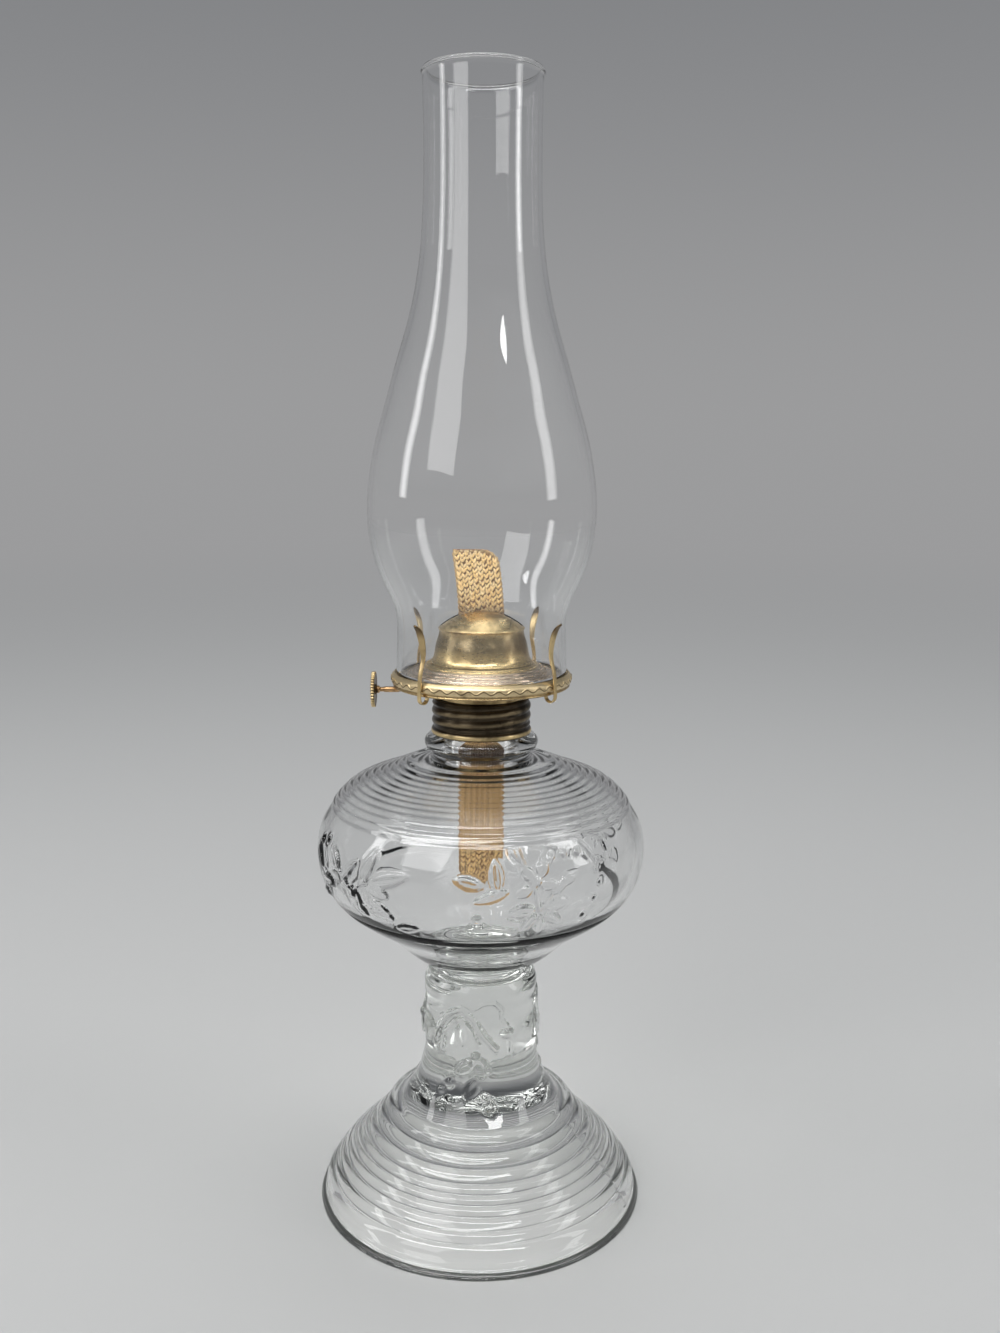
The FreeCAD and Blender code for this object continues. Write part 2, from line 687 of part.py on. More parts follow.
def make_prong():
    """A prong in the XZ plane: a hook under the rim, a strip up past it and a leaf bent outward."""
    outer = gallery_rim_diameter / 2 + gallery_bead_diameter / 2 + prong_rim_gap + prong_thickness / 2
    inner = outer - 2 * prong_hook_radius
    hook_bottom = seat_z - prong_hook_drop
    hook_z = hook_bottom + prong_thickness / 2 + prong_hook_radius
    end_z = seat_z - burner_sheet - basket_rim_drop - thin_sheet - prong_end_gap
    grip = chimney_fitter_diameter / 2 + prong_grip_gap + prong_thickness / 2
    grip_z = seat_z + prong_grip_height
    tip_z = seat_z + prong_height
    rise = grip_z - hook_z
    bend = at(outer, hook_z + rise * prong_bend_share)
    middle_reach_share, middle_rise_share = prong_middle_shares
    leaf_reach_share, leaf_rise_share = prong_leaf_shares
    blade = [
        bend, at(outer - (outer - grip) * middle_reach_share, hook_z + rise * middle_rise_share),
        at(grip, grip_z),
        at(grip + prong_tip_reach * leaf_reach_share, grip_z + (tip_z - grip_z) * leaf_rise_share),
        at(grip + prong_tip_reach, tip_z),
    ]
    leaf = Part.BSplineCurve()
    leaf.interpolate(Points=blade, InitialTangent=up * rise, FinalTangent=Vector(1, 0, 1) * prong_tip_reach)
    hook_middle = at((inner + outer) / 2, hook_z - prong_hook_radius)
    hook = Part.Arc(at(inner, hook_z), hook_middle, at(outer, hook_z))
    path = Part.Wire([line(at(inner, end_z), at(inner, hook_z)), hook.toShape(),
                      line(at(outer, hook_z), bend), leaf.toShape()])
    half = prong_leaf_width / 2
    thick = prong_thickness / 2
    section = Part.makePolygon([
        Vector(inner - thick, -half, end_z), Vector(inner + thick, -half, end_z),
        Vector(inner + thick, half, end_z), Vector(inner - thick, half, end_z),
        Vector(inner - thick, -half, end_z),
    ])
    strip = path.makePipeShell([section], True, False)
    stem = prong_stem_width / 2
    low = hook_bottom - overrun
    waist_z = seat_z + prong_grip_height * prong_stem_share
    leaf_z = grip_z + (tip_z - grip_z) * leaf_reach_share
    right = [Vector(0, stem, low), Vector(0, stem, waist_z), Vector(0, half, leaf_z)]
    left = [Vector(0, -half, leaf_z), Vector(0, -stem, waist_z), Vector(0, -stem, low)]
    crown_z = tip_z - half * prong_crown_share
    crown = [Vector(0, half, leaf_z), Vector(0, half, crown_z)]
    crown_end = [Vector(0, -half, crown_z), Vector(0, -half, leaf_z)]
    tip = Part.Arc(crown[-1], Vector(0, 0, tip_z + prong_thickness), crown_end[0]).toShape()
    edges = polyline(right) + polyline(crown) + [tip] + polyline(crown_end) + polyline(left)
    edges.append(line(left[-1], right[0]))
    outline = Part.Face(Part.Wire(edges)).extrude(Vector(outer + 2 * prong_tip_reach, 0, 0))
    return strip.common(outline)


def chimney_line(shrink):
    """Points of the chimney's outer line, moved inward by the wall."""
    fitter = chimney_fitter_diameter / 2
    waist = fitter - chimney_waist_inset
    bulge = chimney_bulge_diameter / 2
    top = chimney_top_diameter / 2
    points = [at(fitter, chimney_bottom)]
    for level, share in chimney_fitter_shares:
        points.append(at(waist + share * (fitter - waist), chimney_bottom + chimney_height * level))
    points.append(at(waist, chimney_bottom + chimney_height * chimney_waist_share))
    for level, share in chimney_lower_shares:
        points.append(at(waist + share * (bulge - waist), chimney_bottom + chimney_height * level))
    points.append(at(bulge, chimney_bottom + chimney_height * chimney_bulge_share))
    for level, share in chimney_upper_shares:
        points.append(at(top + share * (bulge - top), chimney_bottom + chimney_height * level))
    points.append(at(top, chimney_bottom + chimney_height * chimney_tube_share))
    points.append(at(top, chimney_bottom + chimney_height))
    if shrink:
        points = inset(points, shrink)
        points[0].z = chimney_bottom
        points[-1].z = chimney_bottom + chimney_height
    return points


def make_chimney():
    outside = chimney_line(0)
    inside = chimney_line(chimney_wall)
    edges = [spline(outside).toShape(), line(outside[-1], inside[-1]), spline(inside[::-1]).toShape(),
             line(inside[0], outside[0])]
    glass = turned(edges)
    lip_middle = chimney_bottom + chimney_height - chimney_lip_height / 2
    half_lip = chimney_lip_height / 2
    top = chimney_top_diameter / 2
    lip_arc = Part.Arc(at(top, lip_middle - half_lip), at(top + chimney_lip_swell, lip_middle),
                       at(top, lip_middle + half_lip)).toShape()
    root = top - chimney_wall / 2
    lip = [lip_arc] + polyline([at(top, lip_middle + half_lip), at(root, lip_middle + half_lip),
                                at(root, lip_middle - half_lip), at(top, lip_middle - half_lip)])
    return glass.fuse(turned(lip))


def save(name, shape):
    solids = shape.Solids
    print(name, "solids", len(solids), "volume", round(shape.Volume, 1), "valid", shape.isValid())
    result = solids[0] if len(solids) == 1 else shape
    result.exportStep("parts/" + name + ".step")


def main():
    os.makedirs("parts", exist_ok=True)
    save("pedestal", make_pedestal())
    save("font", make_font())
    save("screw_ring", make_screw_ring())
    save("burner_base", make_burner_base())
    save("air_basket", make_air_basket())
    save("gallery", make_gallery())
    save("air_diffuser", make_air_diffuser())
    save("flame_deflector", make_flame_deflector())
    save("wick_tube", make_wick_tube())
    save("winder_housing", make_winder_housing())
    save("winder_shaft", make_winder_shaft())
    for number, place in enumerate(spur_places(), 1):
        save("spur_wheel_" + str(number), make_spur_wheel(place))
    save("thumb_wheel", make_thumb_wheel())
    save("wick", make_wick())
    save("chimney", make_chimney())
    for i, name in enumerate(prong_names):
        prong = make_prong()
        prong.rotate(centre, up, prong_first_angle + 360 * i / len(prong_names))
        save(name, prong)


main()
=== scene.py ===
import json
import math

import bmesh
import bpy
import numpy as np
from mathutils import Matrix, Vector


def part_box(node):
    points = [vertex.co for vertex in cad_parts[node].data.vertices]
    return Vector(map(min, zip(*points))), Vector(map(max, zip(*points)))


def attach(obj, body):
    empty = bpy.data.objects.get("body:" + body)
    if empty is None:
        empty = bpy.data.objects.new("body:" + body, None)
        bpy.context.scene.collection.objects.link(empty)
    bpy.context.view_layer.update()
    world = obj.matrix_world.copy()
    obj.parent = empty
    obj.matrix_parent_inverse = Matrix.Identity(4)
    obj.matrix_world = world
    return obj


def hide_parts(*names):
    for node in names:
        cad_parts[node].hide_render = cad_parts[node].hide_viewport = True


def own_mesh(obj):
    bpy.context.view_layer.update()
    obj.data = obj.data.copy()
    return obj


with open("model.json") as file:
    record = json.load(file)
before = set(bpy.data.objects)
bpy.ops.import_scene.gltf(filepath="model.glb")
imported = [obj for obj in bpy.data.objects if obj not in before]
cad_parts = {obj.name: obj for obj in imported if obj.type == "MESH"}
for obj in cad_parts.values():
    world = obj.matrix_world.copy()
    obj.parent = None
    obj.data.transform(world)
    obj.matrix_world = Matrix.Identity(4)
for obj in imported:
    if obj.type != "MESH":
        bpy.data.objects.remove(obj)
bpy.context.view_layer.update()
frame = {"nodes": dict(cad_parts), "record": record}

bl_info = {
    "name": "Glass Oil Lamp",
    "version": (1, 0, 0),
    "blender": (4, 5, 0),
    "location": "View3D > Sidebar > Oil Lamp",
    "description": "Makes the glass, brass and wick of a flat-wick oil lamp round its frame",
    "category": "Object",
}

MM = 0.001

# Places that the frame gives
pedestal_low, pedestal_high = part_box("pedestal")
foot_radius = min(pedestal_high.x, pedestal_high.y, -pedestal_low.x, -pedestal_low.y)
font_low, font_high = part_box("font")
chimney_low, chimney_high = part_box("chimney")
wick_low, wick_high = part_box("wick")
ring_low, ring_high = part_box("screw_ring")
gallery_low, gallery_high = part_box("gallery")
dome_low, dome_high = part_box("flame_deflector")
shaft_low, shaft_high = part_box("winder_shaft")
wheel_low, wheel_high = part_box("thumb_wheel")
wheel_y = (wheel_low.y + wheel_high.y) / 2
wheel_z = (wheel_low.z + wheel_high.z) / 2
chimney_radius = 38.1 * MM

# The camera of the photograph: its place, how far it looks down, its roll and its focal length in pixels
CAMERA_PLACE = Vector((8.3, -574.5, 353.3)) * MM
CAMERA_PITCH = 9.94
CAMERA_ROLL = 0.3
FOCAL_PIXELS = 1300.0
IMAGE_WIDTH = 1000.0
SENSOR_WIDTH = 36.0
# The place on the lamp's axis that all the studio's lamps face
LAMPS_AIM = Vector((0, 0, 0.26))

# Height shares of the bell and share of the way from its top radius to its foot radius
BELL_SHARES = ((1.0, 0.0), (0.90, 0.09), (0.77, 0.21), (0.58, 0.46), (0.32, 0.765))
BELL_RING_SHARES = (0.0, 0.135, 0.265, 0.385, 0.475, 0.56, 0.65, 0.755, 0.855)
FOOT_SLOPE_SHARE = 0.45
# The foot's rolled edge: how far in from the foot's radius and how high, in millimetres
FOOT_ROLL = ((0.9, 0), (0.3, 0.2), (0, 0.6), (0, 1.1), (0.3, 1.5), (0.75, 1.7), (0.5, 1.95), (0.45, 2.4),
             (0.7, 2.85), (1.25, 3.1), (1.75, 3.35), (2.35, 4.8))
# Height shares of the stem above the bell, and shares of its radius
STEM_SHARES = (
    (0.02, 1.43), (0.14, 1.20), (0.27, 1.07), (0.42, 1.0), (0.63, 1.02), (0.75, 0.965),
    (0.85, 0.99), (0.92, 1.0),
)
HOLLOW_SHARES = ((0.15, 0.95), (0.45, 0.74), (0.70, 0.52), (0.88, 0.31))
# Height shares of the font and shares of its radius
BOWL_SHARES = (
    (0.025, 0.295), (0.060, 0.385), (0.106, 0.465), (0.202, 0.603), (0.283, 0.761),
    (0.364, 0.892), (0.455, 0.967), (0.566, 1.0), (0.687, 0.982), (0.788, 0.910),
)
SHOULDER_SHARES = (
    (0.788, 0.910), (0.848, 0.848), (0.895, 0.754), (0.929, 0.634), (0.970, 0.501), (0.996, 0.411),
)
# Height shares of the chimney, and shares of the way from the waist out to the fitter or the bulge
CHIMNEY_FITTER_SHARES = ((0.030, 0.50), (0.062, 0.14))
CHIMNEY_WAIST_SHARE = 0.09
CHIMNEY_LOWER_SHARES = ((0.110, 0.05), (0.130, 0.19), (0.169, 0.55), (0.209, 0.815), (0.248, 0.96))
CHIMNEY_BULGE_SHARE = 0.289
CHIMNEY_UPPER_SHARES = (
    (0.350, 0.945), (0.408, 0.83), (0.465, 0.665), (0.524, 0.498),
    (0.583, 0.314), (0.642, 0.162), (0.701, 0.062),
)
CHIMNEY_TUBE_SHARE = 0.78

# Relief of the font. Each mark has a kind, an azimuth in degrees to the right of the front, a height, a turn
# in degrees from upright, a length, a width and a depth, in millimetres. A leaf starts at its place.
FONT_MARKS = (
    ("leaf", 1.5, 175.0, -76, 13.5, 5.6, 1.1),
    ("leaf", 6.0, 173.0, -4, 14.0, 6.0, 1.2),
    ("leaf", 10.0, 173.5, -108, 17.0, 5.2, 1.1),
    ("bead", -0.5, 161.0, 0, 1.9, 1.9, 0.9),
    ("leaf", -52.6, 167.8, 45, 17.0, 4.6, 1.1),
    ("leaf", -41.3, 169.9, 24, 18.0, 5.4, 1.1),
    ("leaf", -38.5, 171.5, 74, 23.0, 7.4, 1.2),
    ("leaf", -39.0, 170.0, 104, 13.5, 6.6, 1.1),
    ("leaf", -38.0, 164.0, 118, 12.0, 6.4, 0.8),
    ("leaf", -47.0, 160.5, 122, 10.5, 5.6, 0.65),
    ("leaf", -44.0, 166.0, 178, 11.0, 6.0, 0.7),
    ("bead", -30.3, 157.5, 0, 2.0, 2.0, 0.7),
    ("leaf", -29.5, 152.5, 80, 13.0, 5.4, 0.5),
    ("leaf", -53.5, 172.0, -44, 13.0, 6.4, 1.1),
    ("leaf", -57.0, 165.0, -92, 13.0, 6.2, 1.1),
    ("leaf", -67.0, 168.0, -40, 13.0, 6.0, 0.9),
    ("leaf", -66.0, 158.0, -112, 12.0, 5.6, 0.8),
    ("bead", -64.5, 181.5, 0, 1.7, 1.7, 0.9),
    ("bead", -70.0, 180.0, 0, 1.7, 1.7, 0.9),
    ("bead", -46.5, 165.0, 0, 2.8, 2.8, 1.4),
    ("leaf", 13.6, 184.0, -18, 10.0, 5.2, 1.0),
    ("leaf", 19.0, 177.5, 35, 9.5, 6.0, 1.1),
    ("leaf", 18.0, 176.5, -38, 9.0, 5.6, 1.1),
    ("leaf", 19.5, 175.0, 96, 9.0, 5.4, 1.0),
    ("leaf", 17.5, 174.0, -112, 9.0, 5.2, 1.0),
    ("bead", 18.8, 176.5, 0, 2.2, 2.2, 1.3),
    ("leaf", 25.6, 173.4, 70, 11.5, 4.8, 1.0),
    ("leaf", 24.5, 170.0, 44, 10.0, 4.4, 1.0),
    ("leaf", 18.5, 165.0, -98, 13.0, 6.4, 1.1),
    ("leaf", 18.5, 163.0, -146, 11.0, 5.6, 1.0),
    ("leaf", 21.0, 165.0, 82, 13.0, 6.4, 1.1),
    ("leaf", 21.5, 162.5, 126, 11.0, 5.6, 1.0),
    ("leaf", 20.0, 162.0, 176, 10.0, 5.0, 0.9),
    ("bead", 24.6, 184.6, 0, 1.7, 1.7, 1.0),
    ("bead", 29.4, 185.3, 0, 1.7, 1.7, 1.0),
    ("bead", 35.0, 185.0, 0, 1.7, 1.7, 1.0),
    ("bead", 41.3, 177.0, 0, 1.2, 1.2, 0.7),
    ("bead", 42.6, 171.0, 0, 1.2, 1.2, 0.7),
    ("bead", 40.8, 164.5, 0, 1.5, 1.5, 0.5),
    ("bead", 37.0, 157.5, 0, 1.5, 1.5, 0.45),
)
# Stalks of the font's relief: a width, a depth, and points of azimuth and height
FONT_STALKS = (
    (1.9, 0.9, ((19.5, 164.0), (18.4, 172.0), (15.4, 181.0), (13.4, 188.0))),
    (1.7, 0.8, ((19.5, 164.0), (25.6, 173.4), (32.5, 176.0))),
    (1.2, 0.5, ((37.6, 188.4), (39.4, 185.5), (41.5, 181.5), (42.2, 178.0))),
    (1.2, 0.6, ((41.5, 181.5), (45.0, 180.0), (49.0, 183.0))),
    (1.2, 0.6, ((43.5, 185.5), (45.5, 188.0), (48.5, 187.0), (48.0, 183.5))),
    (1.7, 0.8, ((-46.5, 165.0), (-42.0, 170.0), (-38.5, 171.5))),
    (1.4, 0.5, ((-46.5, 165.0), (-53.5, 172.0))),
    (1.5, 0.4, ((-46.5, 165.0), (-40.0, 160.0), (-30.3, 157.5))),
)
FONT_REPEATS = 2
FONT_BOLDNESS = 1.25

# Relief of the stem, in the same form, once in each part of a mould of three parts
STEM_MARKS = (
    ("leaf", -17.0, 82.0, 0, 15.0, 6.4, 0.8),
    ("leaf", -5.0, 76.0, -128, 12.0, 6.2, 1.1),
    ("bead", -4.0, 77.5, 0, 2.3, 2.3, 1.1),
    ("bead", 28.0, 88.0, 0, 2.2, 3.4, 1.1),
)
STEM_STALKS = (
    (3.0, 1.0, ((-49.5, 81.0), (-43.0, 90.0), (-33.0, 97.0), (-20.0, 100.0), (-7.0, 96.0), (4.0, 88.0),
                (16.5, 81.0))),
    (2.2, 0.7, ((-40.0, 80.0), (-35.0, 89.0), (-27.0, 94.0), (-19.0, 95.5), (-9.0, 91.0), (-1.0, 83.0))),
    (2.2, 0.7, ((-4.0, 77.5), (4.0, 75.0), (8.0, 71.0))),
    (2.2, 0.7, ((-6.0, 100.5), (4.0, 103.5), (15.0, 103.5), (23.0, 99.5), (22.0, 96.0), (28.0, 91.5),
                (31.0, 86.0), (31.5, 79.0))),
)
STEM_REPEATS = 3
# Buds on the flare above the bell
BUD_MARKS = (
    ("leaf", 0.0, 68.0, -150, 12.0, 6.4, 0.9),
    ("leaf", 2.0, 62.0, 160, 13.0, 6.6, 0.9),
    ("bead", 0.0, 69.4, 0, 2.1, 2.1, 0.9),
    ("bead", -29.0, 64.0, 0, 2.3, 2.3, 0.8),
    ("bead", -37.0, 60.5, 0, 1.8, 1.8, 0.7),
)
BUD_STALKS = (
    (1.4, 0.5, ((-4.0, 77.5), (-9.0, 73.0), (-12.0, 70.0))),
    (1.4, 0.5, ((-4.0, 77.5), (0.0, 73.0), (0.0, 69.4))),
)
BUD_REPEATS = 3
STEM_BOLDNESS = 1.8

# The raised stretch of the font, the groove round each raised shape, and the side where the seam shows
RELIEF_BAND = (149.0 * MM, 188.6 * MM)
MOAT_DEPTH = 0.3 * MM
SEAM_AZIMUTH = 66.0
# Points round the pressed glass: inside it and on its neck, outside it, beside the font's relief and in it
INSIDE, OUTSIDE, BESIDE, RAISED = 96, 192, 384, 768
STEM_ROWS = 80
BAND_ROWS = 54
# Points round the other turned pieces
FLOOR_POINTS = 96
CHIMNEY_POINTS = 160
DOME_POINTS = 144
RING_POINTS = 160
RIM_POINTS = 192
WHEEL_POINTS = 72
ROD_POINTS = 32
# The neck's thread: its start under the neck's top, its length, half its crest and its flank
THREAD_DROP = 10.5 * MM
THREAD_LENGTH = 8.5 * MM
THREAD_CREST = 0.45 * MM
THREAD_FLANK = 1.0 * MM
# The swell of the chimney's lip: how far it lies under the top, and how far it spreads
LIP_DROP = 1.2 * MM
LIP_SPREAD = 0.9 * MM
# Where the prongs stand round the lamp, in degrees from the X axis
PRONG_ANGLES = {"prong_front_left": -129.0, "prong_front_right": -39.0, "prong_back_right": 51.0,
                "prong_back_left": 141.0}
# How late on its way up the wick leans
LEAN_CURVE = 1.6
# How far the fine bumps of the glass, the brass and the cotton stand out
GLASS_BUMP = 0.10 * MM
BRASS_BUMP = 0.02 * MM
COTTON_BUMP = 0.12 * MM
# Colours of single places
# Lighter colour of the screw ring's crests: rubbed wear and a painted highlight
CREST_WEAR_AND_HIGHLIGHT = (0.40, 0.31, 0.18)
SOOT = (0.035, 0.028, 0.02)
RING_PITS = (0.02, 0.015, 0.01)
# Dark specks of the painted shadow cord under the rim's wave
PAINTED_SHADOW_PITS = (0.03, 0.02, 0.012)
WEAVE_MARKS = (0.12, 0.06, 0.022)
# Painted shade between the wick's stitches
WEAVE_GAP_SHADE = (0.17, 0.08, 0.03)
WICK_CHAR = (0.16, 0.07, 0.03)
WICK_PALE = (0.98, 0.80, 0.50)


def length(name, description, default):
    """A property for a size of the lamp, with its default in millimetres."""
    return bpy.props.FloatProperty(name=name, description=description, default=default * MM, unit="LENGTH",
                                   precision=5)


def amount(name, description, default):
    """A property for a power or a strength."""
    return bpy.props.FloatProperty(name=name, description=description, default=default)


def count(name, description, default):
    """A property for a number of things, one or more."""
    return bpy.props.IntProperty(name=name, description=description, default=default, min=1)


def colour(name, description, default):
    """A property for a colour, in scene-linear red, green and blue."""
    return bpy.props.FloatVectorProperty(name=name, description=description, default=default, size=3,
                                         subtype="COLOR", min=0, max=1)


class GlassSettings(bpy.types.PropertyGroup):
    """Sizes and colours of the glass"""
    bell_height: length("Bell height", "Height of the ribbed foot", 46.6)
    bell_top_radius: length("Bell top radius", "Radius where the bell meets the stem", 40)
    foot_band_height: length("Foot band", "Height of the plain band at the foot's edge", 6.4)
    bell_ring_depth: length("Bell ring depth", "How far the rings of the foot stand out", 1.55)
    stem_radius: length("Stem radius", "Radius of the stem", 26)
    lip_radius: length("Lip radius", "Radius of the groove edge on the stem's lip", 22)
    lip_depth: length("Lip depth", "Depth of the groove under the font", 2.0)
    joint_radius: length("Joint radius", "Radius of the fused joint under the font", 15)
    foot_wall: length("Foot wall", "Wall of the foot at its rim", 5)
    seam_thickness: length("Seam", "Thickness of the mould's seam on the foot", 0.85)
    hollow_height: length("Hollow height", "Height of the hollow under the foot", 51)
    hollow_top_radius: length("Hollow top radius", "Radius of the hollow's flat top", 11)
    shoulder_ring_count: count("Shoulder rings", "Number of fine rings on the font's shoulder", 12)
    shoulder_ring_depth: length("Shoulder ring depth", "How far the fine rings stand out", 0.5)
    font_wall: length("Font wall", "Wall of the font", 3.8)
    font_floor: length("Font floor", "Thickness of the font's floor", 9)
    font_floor_radius: length("Font floor radius", "Radius of the flat part of the floor", 22)
    neck_height: length("Neck height", "Height of the neck above the shoulder", 26)
    neck_radius: length("Neck radius", "Radius of the neck under its thread", 20.2)
    neck_wall: length("Neck wall", "Wall of the neck", 3.7)
    neck_waist_swell: length("Neck waist", "How far the waist of the neck stands out", 2.1)
    neck_bead_swell: length("Neck bead", "How far the bead of the neck stands out", 5.5)
    neck_bead_height: length("Neck bead height", "Height of the bead's top above the shoulder", 11.3)
    thread_pitch: length("Thread pitch", "Rise of the neck's thread in one turn", 4.4)
    thread_depth: length("Thread depth", "Depth of the neck's thread", 1.3)
    chimney_wall: length("Chimney wall", "Wall of the chimney", 2.0)
    chimney_waist_inset: length("Chimney waist", "How far the waist lies in from the fitter", 0.55)
    chimney_bulge_radius: length("Chimney bulge", "Largest radius of the chimney", 50.4)
    chimney_top_radius: length("Chimney top", "Radius of the upper tube", 25.5)
    chimney_lip_swell: length("Chimney lip", "How far the fire-polished lip stands out", 0.6)
    pressed_tint: colour("Pressed glass", "Tint of the pressed glass", (0.945, 0.950, 0.944))
    blown_tint: colour("Blown glass", "Tint of the chimney", (0.965, 0.98, 0.975))
    pressed_density: amount("Pressed density", "How strongly the pressed glass is tinted", 60.0)
    blown_density: amount("Blown density", "How strongly the chimney is tinted", 40.0)


class BrassSettings(bpy.types.PropertyGroup):
    """Sizes and colours of the burner's brass"""
    ridge_depth: length("Ring ridge depth", "How far the rolled thread of the screw ring stands out", 0.9)
    ring_core_radius: length("Ring core radius", "Radius of the screw ring between its ridges", 21.4)
    ring_band_height: length("Ring band", "Height of the plain band at the ring's foot", 2.6)
    ring_hole_radius: length("Ring hole", "Radius of the hole in the ring's top", 16.9)
    ring_sheet: length("Ring sheet", "Thickness of the ring's sheet", 0.5)
    dome_waist_radius: length("Dome waist", "Radius of the dome's waist", 18.8)
    dome_waist_height: length("Dome waist height", "Height of the waist above the dome's foot", 15.3)
    dome_sheet: length("Dome sheet", "Thickness of the dome's sheet", 0.5)
    slot_length: length("Slot length", "Length of the slot in the dome", 37.0)
    slot_width: length("Slot width", "Width of the slot in the dome", 5.6)
    flange_step_count: count("Flange steps", "Number of steps in the flange", 5)
    flange_radius: length("Flange radius", "Radius where the flange's steps end", 33.6)
    flange_drop: length("Flange drop", "How far the flange steps down", 5.0)
    flange_roll: length("Flange roll", "Thickness of the rolled step edges", 0.42)
    rim_bulge: length("Rim bulge", "How far the rolled rim stands out from the gallery", 0.75)
    wave_count: count("Rim waves", "Number of waves pressed round the rim", 40)
    wave_height: length("Wave height", "Height of the pressed wave from middle to crest", 0.7)
    wave_cord: length("Wave cord", "Thickness of the raised wave", 0.62)
    prong_thickness: length("Prong thickness", "Thickness of the prong's strip", 0.8)
    prong_stem_width: length("Prong stem", "Width of the prong below its leaf", 2.0)
    prong_leaf_width: length("Prong leaf", "Width of the prong's leaf", 4.0)
    wheel_tooth_count: count("Wheel teeth", "Number of ribs milled round the thumb wheel", 36)
    bright: colour("Bright brass", "Colour of rubbed brass", (0.76, 0.58, 0.30))
    dull: colour("Dull brass", "Colour of aged brass", (0.50, 0.37, 0.19))
    tarnish: colour("Tarnish", "Colour of the brown patches", (0.15, 0.10, 0.05))
    # Painted reflection: the darker colour of the dome's middle band stands in for the dark surroundings that
    # it reflects
    dome_painted_reflection: colour("Dome shade", "Colour of the dome's dull middle", (0.30, 0.235, 0.14))
    cream: colour("Rim brass", "Colour of the pale rim", (0.80, 0.64, 0.38))
    rosy: colour("Flange brass", "Colour of the flange under the chimney", (0.66, 0.54, 0.42))
    copper: colour("Coppery brass", "Colour of the winder", (0.58, 0.36, 0.18))
    antique: colour("Dark brass", "Colour of the screw ring", (0.075, 0.058, 0.038))


class WickSettings(bpy.types.PropertyGroup):
    """Sizes and colours of the woven wick"""
    tape_thickness: length("Tape thickness", "Thickness of the tape under its stitches", 1.4)
    lean: length("Lean", "How far the top leans to the left", 3.2)
    lean_start: length("Lean start", "Height above the dome's foot where the lean starts", 18)
    corner: length("Corner", "Radius of the burnt-off corner", 6.5)
    columns: count("Columns", "Number of stitch columns over the width", 16)
    rows: count("Rows", "Number of stitches over the length", 68)
    edge_cord: length("Edge cord", "Thickness of the cord round the wick's edge", 0.72)
    edge_twist: length("Edge twist", "Length of one lump of the edge cord", 2.3)
    stitch_length: length("Stitch length", "Length of one stitch", 2.9)
    stitch_width: length("Stitch width", "Width of one stitch", 1.28)
    stitch_depth: length("Stitch depth", "Thickness of one stitch", 1.5)
    stitch_turn: bpy.props.FloatProperty(
        name="Stitch turn", description="How far a stitch leans from upright", default=math.radians(24),
        subtype="ANGLE")
    seed: bpy.props.IntProperty(name="Seed", description="Seed of the uneven weave", default=4)
    golden: colour("Golden", "Colour of the dry top", (0.93, 0.64, 0.28))
    brown: colour("Brown", "Colour of the oily middle", (0.58, 0.36, 0.14))
    # Painted shadow: colour of the wick inside the neck, under the screw ring and the dome
    neck_shadow: colour("Soaked", "Colour where it is darkest, in the neck", (0.06, 0.03, 0.014))


class StageSettings(bpy.types.PropertyGroup):
    """Floor, background and lamps round the object"""
    floor_colour: colour("Floor", "Colour of the plain floor", (0.60, 0.60, 0.59))
    sky_low: colour("Background low", "Background at the horizon", (0.33, 0.33, 0.335))
    sky_high: colour("Background high", "Background above the lamp", (0.21, 0.215, 0.225))
    sky_top: colour("Background overhead", "Background straight overhead", (0.085, 0.088, 0.094))
    floor_radius: length("Floor radius", "Radius of the round floor", 9000)
    key_power: amount("Key lamp", "Power of the large lamp", 7.5)
    line_power: amount("Line lamp", "Power of the long thin lamp", 22.0)
    side_power: amount("Side lamp", "Power of each strip lamp", 3.5)


class Value:
    """A number in a node tree. Each sum with it adds a maths node."""

    def __init__(self, tree, socket):
        self.tree = tree
        self.socket = socket

    def __add__(self, other):
        return maths(self.tree, "ADD", self, other)

    def __sub__(self, other):
        return maths(self.tree, "SUBTRACT", self, other)

    def __rsub__(self, other):
        return maths(self.tree, "SUBTRACT", other, self)

    def __mul__(self, other):
        return maths(self.tree, "MULTIPLY", self, other)

    def __truediv__(self, other):
        return maths(self.tree, "DIVIDE", self, other)

    def __mod__(self, other):
        return maths(self.tree, "MODULO", self, other)

    def ramp(self, low, high):
        """The value spread from 0 at low to 1 at high."""
        spread = node(self.tree, "ShaderNodeMapRange", {"Value": self, "From Min": low, "From Max": high},
                      interpolation_type="SMOOTHSTEP")
        return Value(self.tree, spread.outputs[0])


def source(value):
    """What feeds a socket: a node's first output, a socket or a plain value."""
    if isinstance(value, bpy.types.Node):
        return value.outputs[0]
    return value.socket if isinstance(value, Value) else value


def node(tree, kind, sockets=None, **settings):
    """Adds a node, with values or links for its input sockets, and gives it back."""
    made = tree.nodes.new(kind)
    for name, value in settings.items():
        setattr(made, name, value)
    for name, value in (sockets or {}).items():
        value = source(value)
        if isinstance(value, bpy.types.NodeSocket):
            tree.links.new(value, made.inputs[name])
        else:
            made.inputs[name].default_value = value
    return made


def maths(tree, operation, *values):
    """A maths node's result."""
    return Value(tree, node(tree, "ShaderNodeMath", dict(enumerate(values)), operation=operation).outputs[0])


def new_tree(name, **inputs):
    """A geometry tree with inputs named by their kinds, and the values of these inputs."""
    tree = bpy.data.node_groups.new(name, "GeometryNodeTree")
    for way in ("INPUT", "OUTPUT"):
        tree.interface.new_socket("Geometry", in_out=way, socket_type="NodeSocketGeometry")
    for kind, labels in inputs.items():
        for label in labels:
            tree.interface.new_socket(label, in_out="INPUT", socket_type="NodeSocket" + kind)
    return tree, {given.name: Value(tree, given) for given in node(tree, "NodeGroupInput").outputs}


